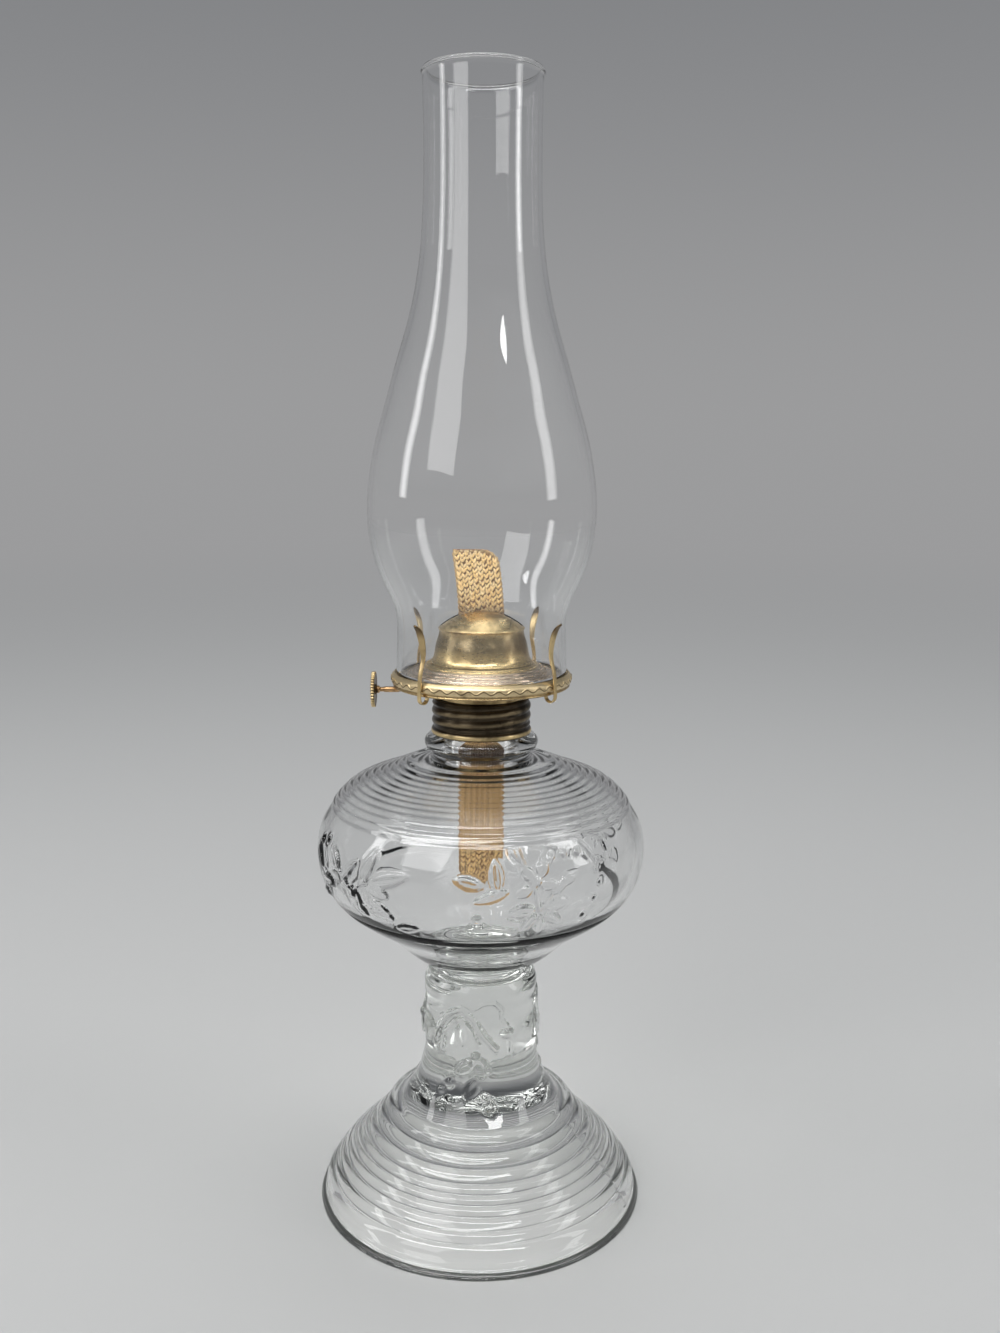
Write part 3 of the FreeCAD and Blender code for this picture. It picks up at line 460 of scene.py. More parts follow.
def close_tree(tree, parts, material):
    """Joins the parts, makes them real and smooth, and gives them the material."""
    joined = node(tree, "GeometryNodeJoinGeometry")
    for part in parts:
        tree.links.new(source(part), joined.inputs[0])
    real = node(tree, "GeometryNodeRealizeInstances", {0: joined})
    soft = node(tree, "GeometryNodeSetShadeSmooth", {0: real})
    node(tree, "NodeGroupOutput", {0: node(tree, "GeometryNodeSetMaterial", {0: soft, "Material": material})})


def new_object(name, data):
    """An object with its data, in the scene."""
    made = bpy.data.objects.new(name, data)
    bpy.context.scene.collection.objects.link(made)
    return made


def applied(carrier):
    """The mesh that an object's modifier makes."""
    graph = bpy.context.evaluated_depsgraph_get()
    return bpy.data.meshes.new_from_object(carrier.evaluated_get(graph), depsgraph=graph)


def grown(name, tree, values, base=None):
    """An object with the plain mesh that a geometry tree makes from its inputs."""
    carrier = new_object(name + "_carrier", base or bpy.data.meshes.new(name))
    modifier = carrier.modifiers.new("grow", "NODES")
    modifier.node_group = tree
    for item in tree.interface.items_tree:
        if item.in_out == "INPUT" and item.name in values:
            modifier[item.identifier] = values[item.name]
    result = applied(carrier)
    bpy.data.objects.remove(carrier)
    return new_object(name, result)


def smooth(points, number):
    """Points spread evenly along a smooth curve through the given ones."""
    points = np.array(points, float)
    spans = np.linalg.norm(np.diff(points, axis=0), axis=1)
    knots = np.concatenate([[0], np.cumsum(spans)])
    system = np.eye(len(points))
    change = np.zeros_like(points)
    for i in range(1, len(points) - 1):
        system[i, i - 1:i + 2] = spans[i - 1] / 6, (spans[i - 1] + spans[i]) / 3, spans[i] / 6
        change[i] = (points[i + 1] - points[i]) / spans[i] - (points[i] - points[i - 1]) / spans[i - 1]
    bend = np.linalg.solve(system, change)
    places = np.linspace(0, knots[-1], number)
    i = np.clip(np.searchsorted(knots, places, side="right") - 1, 0, len(points) - 2)
    a = ((knots[i + 1] - places) / spans[i])[:, None]
    b = 1 - a
    bow = (a ** 3 - a) * bend[i] + (b ** 3 - b) * bend[i + 1]
    return a * points[i] + b * points[i + 1] + bow * (spans[i] ** 2 / 6)[:, None]


def travelled(line):
    """Distance along a line at each of its points."""
    steps = np.linalg.norm(np.diff(line, axis=0), axis=1)
    return np.concatenate([[0], np.cumsum(steps)])


def at_shares(line, shares):
    """Points at shares of a line's length."""
    travel = travelled(line)
    places = np.array(shares) * travel[-1]
    return np.column_stack([np.interp(places, travel, line[:, axis]) for axis in range(2)])


def outward(line):
    """Unit directions square to a line of radius and height that climbs."""
    slope = np.gradient(np.array(line), axis=0)
    slope /= np.linalg.norm(slope, axis=1)[:, None]
    return np.column_stack([slope[:, 1], -slope[:, 0]])


def near(radius, level, points):
    """Points of radius and height, given in millimetres from a place."""
    return [(radius + across * MM, level + up * MM) for across, up in points]


def full_turn(number):
    """Angles spread evenly over a full turn."""
    return np.linspace(0, 2 * math.pi, number, endpoint=False)


def squared(wave, power):
    """A wave drawn out towards its crests, the more the lower the power."""
    return np.sign(wave) * np.abs(wave) ** power


def ringed(marks, depth, steps, roundness=1.0):
    """A line that bulges out between each pair of marks, the rounder the lower its last number."""
    points = []
    for a, b in zip(marks, marks[1:]):
        along = (b - a) / np.linalg.norm(b - a)
        out = np.array([along[1], -along[0]])
        for i in range(steps):
            share = (1 - math.cos(math.pi * i / steps)) / 2 if roundness < 1 else i / steps
            points.append(a + (b - a) * share + out * depth * (4 * share * (1 - share)) ** roundness)
    return np.array(points + [marks[-1]])


def leaf_height(along, across):
    """A pointed, rounded leaf with a sunk vein."""
    reach = np.clip(along, 0, 1)
    half = np.maximum(np.sin(math.pi * reach ** 0.85), 1e-3)
    side = np.abs(across) / half
    inside = (along > 0) & (along < 1) & (side < 1)
    height = np.clip(1 - side ** 2, 0, 1) ** 0.8 * np.minimum(1, 2.2 * half)
    vein = 0.6 * np.exp(-(across / 0.2) ** 2)
    return np.where(inside, height * (1 - vein), 0)


def moated(heights, depth):
    """The relief with a shallow groove round each raised shape."""
    raised = (heights > 0).astype(float)
    spread = raised
    for _ in range(3):
        spread = (spread + np.roll(spread, 1, axis=1) + np.roll(spread, -1, axis=1)) / 3
        padded = np.vstack([spread[:1], spread, spread[-1:]])
        spread = (padded[:-2] + padded[1:-1] + padded[2:]) / 3
    return heights - depth * np.clip(1.8 * spread, 0, 1) * (1 - raised)


def bead_height(along, across):
    """A round boss."""
    return np.sqrt(np.clip(1 - along ** 2 - across ** 2, 0, 1))


RELIEF_SHAPES = {"leaf": leaf_height, "bead": bead_height}


def relief(line, number, girth, marks, stalks, repeats):
    """Heights of raised ornament over a turned stretch, one row for each point of its line."""
    line = np.array(line)
    travel = travelled(line)
    azimuths = np.arange(number) * 360 / number
    heights = np.zeros((len(line), number))

    def around(azimuth):
        return np.radians((azimuths - azimuth + 180) % 360 - 180)[None, :] * girth

    def reached(level):
        return np.interp(level * MM, line[:, 1], travel)

    for k in range(repeats):
        shift = 360 * k / repeats
        for kind, azimuth, level, turn, reach, width, depth in marks:
            u = around(azimuth + shift)
            v = (travel - reached(level))[:, None]
            lean = math.radians(turn)
            along = u * math.sin(lean) + v * math.cos(lean)
            across = u * math.cos(lean) - v * math.sin(lean)
            half = width if kind == "bead" else width / 2
            shape = RELIEF_SHAPES[kind](along / (reach * MM), across / (half * MM))
            heights = np.maximum(heights, shape * depth * MM)
        for width, depth, points in stalks:
            for (start, low), (end, high) in zip(points, points[1:]):
                run = math.radians(end - start) * girth
                climb = reached(high) - reached(low)
                u = around(start + shift)
                v = (travel - reached(low))[:, None]
                share = np.clip((u * run + v * climb) / (run ** 2 + climb ** 2), 0, 1)
                away = np.hypot(u - share * run, v - share * climb) / (width * MM / 2)
                heights = np.maximum(heights, np.clip(1 - away ** 2, 0, 1) ** 0.7 * depth * MM)
    return moated(heights, MOAT_DEPTH)


def turned_rings(line, number, heights=None):
    """Rings of points turned from a line of radius and height, raised square to it by any heights."""
    line = np.array(line)
    azimuths = np.arange(number) * 2 * math.pi / number
    radius = line[:, :1] + np.zeros(number)
    level = line[:, 1:] + np.zeros(number)
    if heights is not None:
        square = outward(line)
        radius = radius + heights * square[:, :1]
        level = level + heights * square[:, 1:]
    return list(np.stack([radius * np.sin(azimuths), -radius * np.cos(azimuths), level], axis=2))


def pole(level):
    """A ring of one point on the axis."""
    return np.array([[0, 0, level]])


def capped(rings):
    """The rings with a point in the middle of each end."""
    first, last = [ring.mean(axis=0, keepdims=True) for ring in (rings[0], rings[-1])]
    return [first] + rings + [last]


def between(a, b, first_a, first_b):
    """Faces that join two rings, where one may have twice the points of the other or be a pole."""
    n, m = len(a), len(b)
    if n == 1 or m == 1:
        ring, apex, number = (first_b, first_a, m) if n == 1 else (first_a, first_b, n)
        return [(apex, ring + i, ring + (i + 1) % number) for i in range(number)]
    if n == m:
        return [(first_a + i, first_a + (i + 1) % n, first_b + (i + 1) % n, first_b + i) for i in range(n)]
    few, many, number = (first_a, first_b, n) if n < m else (first_b, first_a, m)
    faces = []
    for i in range(number):
        j = (i + 1) % number
        middle = many + 2 * i + 1
        faces.append((few + i, many + 2 * i, middle))
        faces.append((few + i, middle, few + j))
        faces.append((few + j, middle, many + 2 * j))
    return faces


def turned_mesh(name, rings, closed=False):
    """A mesh skinned over rings of points, with its faces pointing outward."""
    starts = np.concatenate([[0], np.cumsum([len(ring) for ring in rings])])
    faces = []
    for i in range(len(rings) - 1):
        faces += between(rings[i], rings[i + 1], int(starts[i]), int(starts[i + 1]))
    if closed:
        faces += between(rings[-1], rings[0], int(starts[-2]), 0)
    return plain_mesh(name, np.concatenate(rings), faces)


def plain_mesh(name, points, faces, flat=False):
    """An object of its points and faces, smooth and with its normals outward."""
    mesh = bpy.data.meshes.new(name)
    mesh.from_pydata([tuple(point) for point in points], [], faces)
    shell = bmesh.new()
    shell.from_mesh(mesh)
    bmesh.ops.recalc_face_normals(shell, faces=shell.faces)
    for face in shell.faces:
        face.smooth = not flat
    shell.to_mesh(mesh)
    shell.free()
    return new_object(name, mesh)


def finish_piece(piece, material, body, slot, *replaced):
    """Gives a piece its material and its body, and hides the nodes that it stands for. The slot is not used.
    """
    piece.data.materials.clear()
    piece.data.materials.append(material)
    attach(piece, body)
    if replaced:
        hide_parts(*replaced)
    return piece


def new_material(name):
    """An empty node material and its tree."""
    material = bpy.data.materials.new(name)
    material.use_nodes = True
    material.node_tree.nodes.clear()
    return material, material.node_tree


def object_place(tree):
    """Places on an object, in metres."""
    return node(tree, "ShaderNodeTexCoord").outputs["Object"]


def coordinate(tree, axis):
    """One of the object coordinates."""
    return Value(tree, node(tree, "ShaderNodeSeparateXYZ", {0: object_place(tree)}).outputs[axis])


def distance_from(tree, middle, directions):
    """Distance from a point, counted only along the directions that are 1."""
    arm = node(tree, "ShaderNodeVectorMath", {0: object_place(tree), 1: middle}, operation="SUBTRACT")
    flat = node(tree, "ShaderNodeVectorMath", {0: arm, 1: directions}, operation="MULTIPLY")
    return Value(tree, node(tree, "ShaderNodeVectorMath", {0: flat}, operation="LENGTH").outputs["Value"])


def axis_distance(tree):
    """Distance from the lamp's axis."""
    return distance_from(tree, (0, 0, 0), (1, 1, 0))


def wheel_reach(tree):
    """Distance from the winder's axis."""
    return distance_from(tree, (0, wheel_y, wheel_z), (0, 1, 1))


def object_noise(tree, scale, detail=2.0, stretch=(1, 1, 1)):
    """Noise on object coordinates, with features per metre given by the scale."""
    spread = node(tree, "ShaderNodeMapping", {"Vector": object_place(tree), "Scale": stretch})
    noise = node(tree, "ShaderNodeTexNoise", {"Vector": spread, "Scale": scale, "Detail": detail})
    return Value(tree, noise.outputs[0])


def rgba(values):
    """A colour with its fourth value, as the sockets take it."""
    return (*values[:3], 1.0)


def darker(tint, share):
    """A share of a colour's light."""
    return [share * value for value in tint]


def blend_colours(share, first, second):
    """The first colour where the share is 0, and the second where it is 1."""
    pair = [value if isinstance(value, bpy.types.NodeSocket) else rgba(value) for value in (first, second)]
    return node(share.tree, "ShaderNodeMix", {0: share, 6: pair[0], 7: pair[1]}, data_type="RGBA").outputs[2]


def bumps(tree, height, depth):
    """Fine bumps, a normal for a shader."""
    return node(tree, "ShaderNodeBump", {"Height": height, "Strength": 1.0, "Distance": depth})


def glass_material(name, tint, density, ripple_scale, foot_veil, veil):
    """Clear glass with soft ripples, which lets the lamps light what stands inside it."""
    material, tree = new_material(name)
    ripples = object_noise(tree, ripple_scale, 1.5, (1, 1, 0.55))
    smear = object_noise(tree, 45.0, 4.0).ramp(0.45, 0.8)
    glass = node(tree, "ShaderNodeBsdfPrincipled", {
        "Base Color": (1, 1, 1, 1), "Roughness": smear * 0.02, "IOR": 1.5, "Transmission Weight": 1.0,
        "Normal": bumps(tree, ripples, GLASS_BUMP),
    })
    facing = Value(tree, node(tree, "ShaderNodeLayerWeight", {"Blend": 0.35}).outputs["Facing"])
    above = coordinate(tree, 2).ramp(pedestal_high.z * 0.45, pedestal_high.z * 0.7)
    through = blend_colours(above, [foot_veil] * 3, [veil] * 3)
    shade = blend_colours(facing, through, (0.5 * veil, 0.55 * veil, 0.52 * veil))
    clear = node(tree, "ShaderNodeBsdfTransparent", {"Color": shade})
    shadow = node(tree, "ShaderNodeLightPath").outputs["Is Shadow Ray"]
    mixed = node(tree, "ShaderNodeMixShader", {0: shadow, 1: glass, 2: clear})
    absorb = node(tree, "ShaderNodeVolumeAbsorption", {"Color": rgba(tint), "Density": density})
    node(tree, "ShaderNodeOutputMaterial", {"Surface": mixed, "Volume": absorb})
    return material


def between_heights(tree, low, high, soft):
    """1 between two heights, 0 elsewhere, with soft edges."""
    level = coordinate(tree, 2)
    return level.ramp(low - soft, low + soft) - level.ramp(high - soft, high + soft)


def facing_in(tree, level):
    """1 where a surface faces the lamp's axis at a height, as the inside of a dome does."""
    coordinates = node(tree, "ShaderNodeTexCoord").outputs
    arm = node(tree, "ShaderNodeVectorMath", {0: coordinates["Object"], 1: (0, 0, level)},
               operation="SUBTRACT")
    turned = node(tree, "ShaderNodeVectorMath", {0: arm, 1: coordinates["Normal"]}, operation="DOT_PRODUCT")
    return maths(tree, "LESS_THAN", turned.outputs["Value"], -0.5 * MM)


def crest_wear_and_highlight(tree, low, high):
    """1 on the crests, unevenly, by distance from the axis: where hands and years have rubbed them bright,
    and where a highlight is painted along each ridge.
    """
    return axis_distance(tree).ramp(low, high) * object_noise(tree, 60.0, 4.0).ramp(0.2, 0.7)


def brass_material(name, tints, age=0.3, rough=0.26, washes=()):
    """Aged sheet brass: bright where it is rubbed, brown in patches, with fine pits and scratches."""
    bright, dull, dark = tints
    material, tree = new_material(name)
    patches = object_noise(tree, 90.0, 6.0).ramp(0.62 - age * 0.35, 0.78 - age * 0.25)
    specks = object_noise(tree, 900.0, 3.0).ramp(0.60, 0.72)
    scratches = object_noise(tree, 500.0, 2.0, (1, 1, 7))
    tint = blend_colours(object_noise(tree, 35.0, 3.0).ramp(0.35, 0.65), bright, dull)
    for share, wash in washes:
        tint = blend_colours(share(tree), tint, wash)
    tint = blend_colours(patches * 0.8, tint, dark)
    brass = node(tree, "ShaderNodeBsdfPrincipled", {
        "Base Color": blend_colours(specks * 0.45, tint, dark), "Metallic": 1.0,
        "Roughness": patches * 0.22 + rough + scratches * 0.12,
        "Normal": bumps(tree, scratches * 0.5 - specks * 0.8, BRASS_BUMP),
    })
    node(tree, "ShaderNodeOutputMaterial", {"Surface": brass})
    return material


def font_outline(sizes):
    """The font's outer line from the fused joint up to the shoulder's start, and the shoulder's line."""
    radius = font_high.x
    height = font_high.z - sizes.neck_height - pedestal_high.z
    base = pedestal_high.z
    bowl, shoulder = [[(radius * share, base + height * level) for level, share in shares]
                      for shares in (BOWL_SHARES, SHOULDER_SHARES)]
    return [(sizes.joint_radius, base)] + bowl, shoulder


def glass_base_rings(sizes):
    """Rings of the foot, stem and font, from the hollow's crown round to the font's floor."""
    mouth = foot_radius - sizes.foot_wall
    crown = sizes.hollow_top_radius
    hollow = [(crown + share * (mouth - crown), sizes.hollow_height * level)
              for level, share in HOLLOW_SHARES]
    hollow = smooth([(mouth, 0)] + hollow + [(0, sizes.hollow_height)], 26)[::-1]
    rings = [pole(sizes.hollow_height)] + turned_rings(hollow[1:], INSIDE)
    rings += turned_rings([(foot_radius - drop * MM, level * MM) for drop, level in FOOT_ROLL], OUTSIDE)
    rings += turned_rings(bell_line(sizes), OUTSIDE)
    rings += stem_rings(sizes)
    bowl, shoulder = font_outline(sizes)
    bowl_line = smooth(bowl, 240)
    start, end = np.searchsorted(bowl_line[:, 1], RELIEF_BAND)
    under = at_shares(bowl_line[:start + 1], np.linspace(0, 1, 12))
    rings += turned_rings(under[:4], OUTSIDE) + turned_rings(under[4:], BESIDE)
    band = at_shares(bowl_line[start:end + 1], np.linspace(0, 1, BAND_ROWS))
    ornament = FONT_BOLDNESS * relief(band, RAISED, font_high.x, FONT_MARKS, FONT_STALKS, FONT_REPEATS)
    rings += turned_rings(band, RAISED, np.minimum(ornament, foot_radius - 0.02 * MM - band[:, :1]))
    rings += turned_rings(at_shares(bowl_line[end:], (0.4, 0.75)), BESIDE)
    ring_marks = at_shares(smooth(shoulder, 200), np.linspace(0, 1, sizes.shoulder_ring_count + 1))
    rings += turned_rings(ringed(ring_marks, sizes.shoulder_ring_depth, 4), OUTSIDE)
    rings += neck_rings(sizes, shoulder)
    wall_line = smooth(bowl + shoulder[1:], 90)
    inside = wall_line - outward(wall_line) * sizes.font_wall
    floor_z = pedestal_high.z + sizes.font_floor
    bore = sizes.neck_radius - sizes.neck_wall
    inside = [point for point in inside if point[0] > bore + 1.5 * MM and point[1] > floor_z + 5 * MM]
    cavity = [(0, floor_z), (sizes.font_floor_radius, floor_z + sizes.font_wall / 4)] + inside[::6]
    cavity = smooth(cavity + [(bore, inside[-1][1] + sizes.font_wall / 3)], 44)[::-1]
    return rings + turned_rings(cavity[:-1], INSIDE) + [pole(floor_z)]


def stem_rings(sizes):
    """Rings of the stem with its raised leaves, and of the lip and groove under the font."""
    top = pedestal_high.z
    height = top - sizes.bell_height
    stem = [(sizes.stem_radius * share, sizes.bell_height + height * level) for level, share in STEM_SHARES]
    lip_edge = ((sizes.stem_radius + sizes.lip_radius) / 2, top - 0.7 * sizes.lip_depth)
    line = smooth(stem + [lip_edge], STEM_ROWS)
    ornament = STEM_BOLDNESS * relief(line, OUTSIDE, sizes.stem_radius, STEM_MARKS, STEM_STALKS, STEM_REPEATS)
    ornament += relief(line, OUTSIDE, sizes.stem_radius, BUD_MARKS, BUD_STALKS, BUD_REPEATS)
    lip_top = (sizes.lip_radius, top - 0.35 * sizes.lip_depth)
    groove = ((sizes.lip_radius + sizes.joint_radius) / 2, top - sizes.lip_depth)
    lip = smooth([lip_edge, lip_top, groove], 8)[1:]
    return turned_rings(line, OUTSIDE, ornament) + turned_rings(lip, OUTSIDE)


def bell_line(sizes):
    """The line over the rings of the bell, from its foot up."""
    crown = sizes.bell_top_radius
    slope = [(crown + share * (foot_radius - crown), sizes.bell_height * level)
             for level, share in BELL_SHARES]
    band_foot = (foot_radius - sizes.foot_band_height * FOOT_SLOPE_SHARE, sizes.foot_band_height)
    slope = smooth(slope + [band_foot], 200)[::-1]
    marks = at_shares(slope, [0] + [1 - share for share in BELL_RING_SHARES[::-1]])
    return ringed(marks, sizes.bell_ring_depth, 7, 0.5)


class OILLAMP_OT_mould_seam(bpy.types.Operator):
    """Runs the fine seam that the mould left over the rings of the foot"""
    bl_idname = "oil_lamp.mould_seam"
    bl_label = "Mould seam"

    def execute(self, context):
        sizes = context.scene.oil_lamp_glass
        line = bell_line(sizes)[:-8]
        girth = sizes.seam_thickness / 2
        turns = full_turn(6)
        lift = girth * (0.35 + np.sin(turns))
        side = girth * np.cos(turns)
        rings = []
        for i, ((radius, level), (out, up)) in enumerate(zip(line, outward(line))):
            azimuth = math.radians(SEAM_AZIMUTH + 0.5 * math.sin(0.55 * i) + 0.3 * math.sin(1.7 * i))
            sine, cosine = math.sin(azimuth), math.cos(azimuth)
            reach = radius + lift * out
            rings.append(np.column_stack([reach * sine + side * cosine, side * sine - reach * cosine,
                                          level + lift * up]))
        piece = turned_mesh("mould_seam", capped(rings))
        finish_piece(piece, bpy.data.materials["Pressed glass"], "lamp_base", "pressed_glass")
        return {"FINISHED"}


def neck_rings(sizes, shoulder):
    """Rings of the neck: its waist and bead, its thread, its rim and its bore."""
    core = sizes.neck_radius
    waist = core + sizes.neck_waist_swell
    bead = core + sizes.neck_bead_swell
    top = font_high.z
    shoulder_z = top - sizes.neck_height
    waist_z = shoulder_z + sizes.neck_bead_height * 0.22
    bead_z = shoulder_z + sizes.neck_bead_height * 0.72
    bead_top = shoulder_z + sizes.neck_bead_height
    last = shoulder[-1]
    lower = [last, (waist + (last[0] - waist) / 4, shoulder_z), (waist, waist_z),
             ((waist + bead) / 2 + 0.6 * MM, (waist_z + bead_z) / 2)]
    lower += near(bead, bead_z, ((0, 0), (-0.9, 2.0)))
    lower += [((bead + core) / 2, bead_top), (core, bead_top + 0.8 * MM)]
    rings = turned_rings(smooth(lower, 22)[1:], INSIDE)
    start = top - THREAD_DROP
    levels = np.linspace(bead_top + 1.1 * MM, top - 1.0 * MM, 34)
    turns = np.arange(INSIDE) / INSIDE - 0.25
    phase = ((levels[:, None] - start) / sizes.thread_pitch - turns[None, :] + 0.5) % 1 - 0.5
    ridge = np.clip(1 + (THREAD_CREST - np.abs(phase) * sizes.thread_pitch) / THREAD_FLANK, 0, 1)
    along = (levels[:, None] - start) / THREAD_LENGTH
    ends = np.clip(np.minimum(along, 1 - along) * 12 + 0.6, 0, 1)
    rings += turned_rings([(core, level) for level in levels], INSIDE, ridge * ends * sizes.thread_depth)
    rim = near(core, top, ((0, -0.7), (-0.4, -0.1), (-1.1, 0)))
    rim += near(core - sizes.neck_wall, top, ((1.1, 0), (0.4, -0.1), (0, -0.7)))
    return rings + turned_rings(smooth(rim, 10), INSIDE)


class OILLAMP_OT_glass_base(bpy.types.Operator):
    """Presses the foot, stem and font as one piece of clear glass"""
    bl_idname = "oil_lamp.glass_base"
    bl_label = "Glass foot and font"

    def execute(self, context):
        sizes = context.scene.oil_lamp_glass
        piece = turned_mesh("lamp_glass", glass_base_rings(sizes))
        material = glass_material("Pressed glass", sizes.pressed_tint, sizes.pressed_density,
                                  ripple_scale=70.0, foot_veil=0.62, veil=0.93)
        finish_piece(piece, material, "lamp_base", "pressed_glass", "pedestal", "font")
        return {"FINISHED"}


def chimney_line(sizes, number):
    """The chimney's outer line from its fitter up, with the swell of its lip."""
    fitter = chimney_low_radius()
    waist = fitter - sizes.chimney_waist_inset
    bulge = sizes.chimney_bulge_radius
    top = sizes.chimney_top_radius
    base = chimney_low.z
    height = chimney_high.z - base

    def stretch(inner, outer, shares):
        return [(inner + share * (outer - inner), base + height * level) for level, share in shares]

    points = [(fitter, base)] + stretch(waist, fitter, CHIMNEY_FITTER_SHARES)
    points += [(waist, base + height * CHIMNEY_WAIST_SHARE)] + stretch(waist, bulge, CHIMNEY_LOWER_SHARES)
    points += [(bulge, base + height * CHIMNEY_BULGE_SHARE)] + stretch(top, bulge, CHIMNEY_UPPER_SHARES)
    points += [(top, base + height * CHIMNEY_TUBE_SHARE), (top, base + height)]
    line = smooth(points, number)
    above = (line[:, 1] - chimney_high.z + LIP_DROP) / LIP_SPREAD
    line[:, 0] += sizes.chimney_lip_swell * np.exp(-above ** 2)
    return line


def chimney_low_radius():
    """Radius of the chimney's foot, from the frame."""
    foot = [vertex.co for vertex in frame["nodes"]["chimney"].data.vertices
            if vertex.co.z < chimney_low.z + 0.05 * MM]
    return max(math.hypot(point.x, point.y) for point in foot)


class OILLAMP_OT_chimney(bpy.types.Operator):
    """Blows the chimney: a thin clear wall with a fire-polished lip"""
    bl_idname = "oil_lamp.chimney"
    bl_label = "Chimney"

    def execute(self, context):
        sizes = context.scene.oil_lamp_glass
        outside = chimney_line(sizes, 150)
        lip = chimney_line(sizes, 900)[-12:-1:2]
        outside = np.concatenate([outside[outside[:, 1] < lip[0, 1] - 0.2 * MM], lip])
        inside = (outside - outward(outside) * sizes.chimney_wall)[::-1]
        inside[:, 1] = np.clip(inside[:, 1], chimney_low.z, chimney_high.z - 0.6 * MM)
        outer_top = outside[-1]
        inner_top = inside[0]
        edge = [((outer_top[0] * (4 - part) + inner_top[0] * part) / 4, chimney_high.z - drop * MM)
                for part, drop in ((1, 0.1), (2, 0), (3, 0.15))]
        edge = smooth([outer_top] + edge + [inner_top], 9)
        rings = turned_rings(np.concatenate([outside, edge[1:-1], inside]), CHIMNEY_POINTS)
        piece = turned_mesh("chimney_glass", rings, closed=True)
        material = glass_material("Blown glass", sizes.blown_tint, sizes.blown_density,
                                  ripple_scale=26.0, foot_veil=0.97, veil=0.97)
        finish_piece(piece, material, "chimney", "blown_glass", "chimney")
        return {"FINISHED"}


def stage_material(settings):
    """The floor's matt grey, which fades into the background far away."""
    material, tree = new_material("Plain floor")
    tone = blend_colours(object_noise(tree, 3.0, 3.0) * 0.12, settings.floor_colour,
                         darker(settings.floor_colour, 0.93))
    matt = node(tree, "ShaderNodeBsdfPrincipled", {"Base Color": tone, "Roughness": 0.75})
    haze = node(tree, "ShaderNodeEmission", {"Color": rgba(settings.sky_low), "Strength": 1.0})
    share = axis_distance(tree).ramp(0.9, settings.floor_radius * 0.45) * looked_at(tree)
    mixed = node(tree, "ShaderNodeMixShader", {0: share, 1: matt, 2: haze})
    node(tree, "ShaderNodeOutputMaterial", {"Surface": mixed})
    return material


def looked_at(tree):
    """1 for what the camera sees, in a mirror or through glass as well."""
    rays = node(tree, "ShaderNodeLightPath").outputs
    looked = maths(tree, "MAXIMUM", rays["Is Camera Ray"], rays["Is Glossy Ray"])
    return maths(tree, "MAXIMUM", looked, rays["Is Transmission Ray"])


def make_world(settings):
    """A soft sky: plain light on the object, and a pale background behind it and in its reflections."""
    world = bpy.data.worlds.new("Studio")
    bpy.context.scene.world = world
    world.use_nodes = True
    tree = world.node_tree
    tree.nodes.clear()
    place = node(tree, "ShaderNodeTexCoord").outputs["Generated"]
    height = Value(tree, node(tree, "ShaderNodeSeparateXYZ", {0: place}).outputs[2])
    seen = blend_colours(height.ramp(0.0, 0.40), settings.sky_low, settings.sky_high)
    seen = blend_colours(height.ramp(0.36, 0.60), seen, settings.sky_top)
    shown = node(tree, "ShaderNodeBackground", {"Color": seen, "Strength": 1.0})
    light = node(tree, "ShaderNodeBackground", {"Color": (0.95, 0.97, 1, 1), "Strength": 0.55})
    mixed = node(tree, "ShaderNodeMixShader", {0: looked_at(tree), 1: light, 2: shown})
    node(tree, "ShaderNodeOutputWorld", {"Surface": mixed})


def add_lamp(name, place, width, height, power, only_seen=False):
    """A soft box that faces the object, or one that only shows in its glass and metal."""
    light = bpy.data.lights.new(name, "AREA")
    light.shape = "RECTANGLE"
    light.size = width
    light.size_y = height
    light.energy = power
    box = new_object(name, light)
    box.location = place
    box.rotation_euler = (LAMPS_AIM - Vector(place)).to_track_quat("-Z", "Y").to_euler()
    box.visible_camera = False
    box.visible_diffuse = not only_seen


class OILLAMP_OT_stage(bpy.types.Operator):
    """Sets up the plain pale floor, the soft lamps and the camera"""
    bl_idname = "oil_lamp.stage"
    bl_label = "Floor, lamps and camera"

    def execute(self, context):
        settings = context.scene.oil_lamp_stage
        line = [(settings.floor_radius * share, 0.0) for share in (0.02, 0.08, 0.3, 1.0)]
        floor = turned_mesh("floor", [pole(0.0)] + turned_rings(line, FLOOR_POINTS))
        floor.data.materials.append(stage_material(settings))
        make_world(settings)
        add_lamp("key_lamp", (-1.0, -1.1, 1.25), 0.9, 1.1, settings.key_power)
        add_lamp("left_strip", (-1.25, -0.15, 0.95), 0.20, 1.2, settings.side_power)
        add_lamp("right_strip", (1.2, -0.35, 0.95), 0.28, 1.2, settings.side_power)
        add_lamp("top_lamp", (0.1, 0.1, 1.6), 0.8, 0.8, settings.side_power)
        add_lamp("front_line", (-0.25, -0.80, 1.45), 2.4, 0.20, settings.line_power, only_seen=True)
        view = bpy.data.cameras.new("camera")
        view.sensor_fit = "HORIZONTAL"
        view.sensor_width = SENSOR_WIDTH
        view.lens = FOCAL_PIXELS * SENSOR_WIDTH / IMAGE_WIDTH
        camera = new_object("camera", view)
        tilt = Matrix.Rotation(math.radians(90 - CAMERA_PITCH), 4, "X")
        roll = Matrix.Rotation(math.radians(CAMERA_ROLL), 4, "Z")
        camera.matrix_world = Matrix.Translation(CAMERA_PLACE) @ tilt @ roll
        context.scene.camera = camera
        context.scene.view_settings.view_transform = "Standard"
        return {"FINISHED"}


def sheet_tints(brass):
    """The bright, the dull and the dark colour of the burner's sheet brass."""
    return brass.bright, brass.dull, brass.tarnish


def aged_brass(brass):
    """The finish that most of the burner has, made once."""
    return bpy.data.materials.get("Aged brass") or brass_material("Aged brass", sheet_tints(brass))


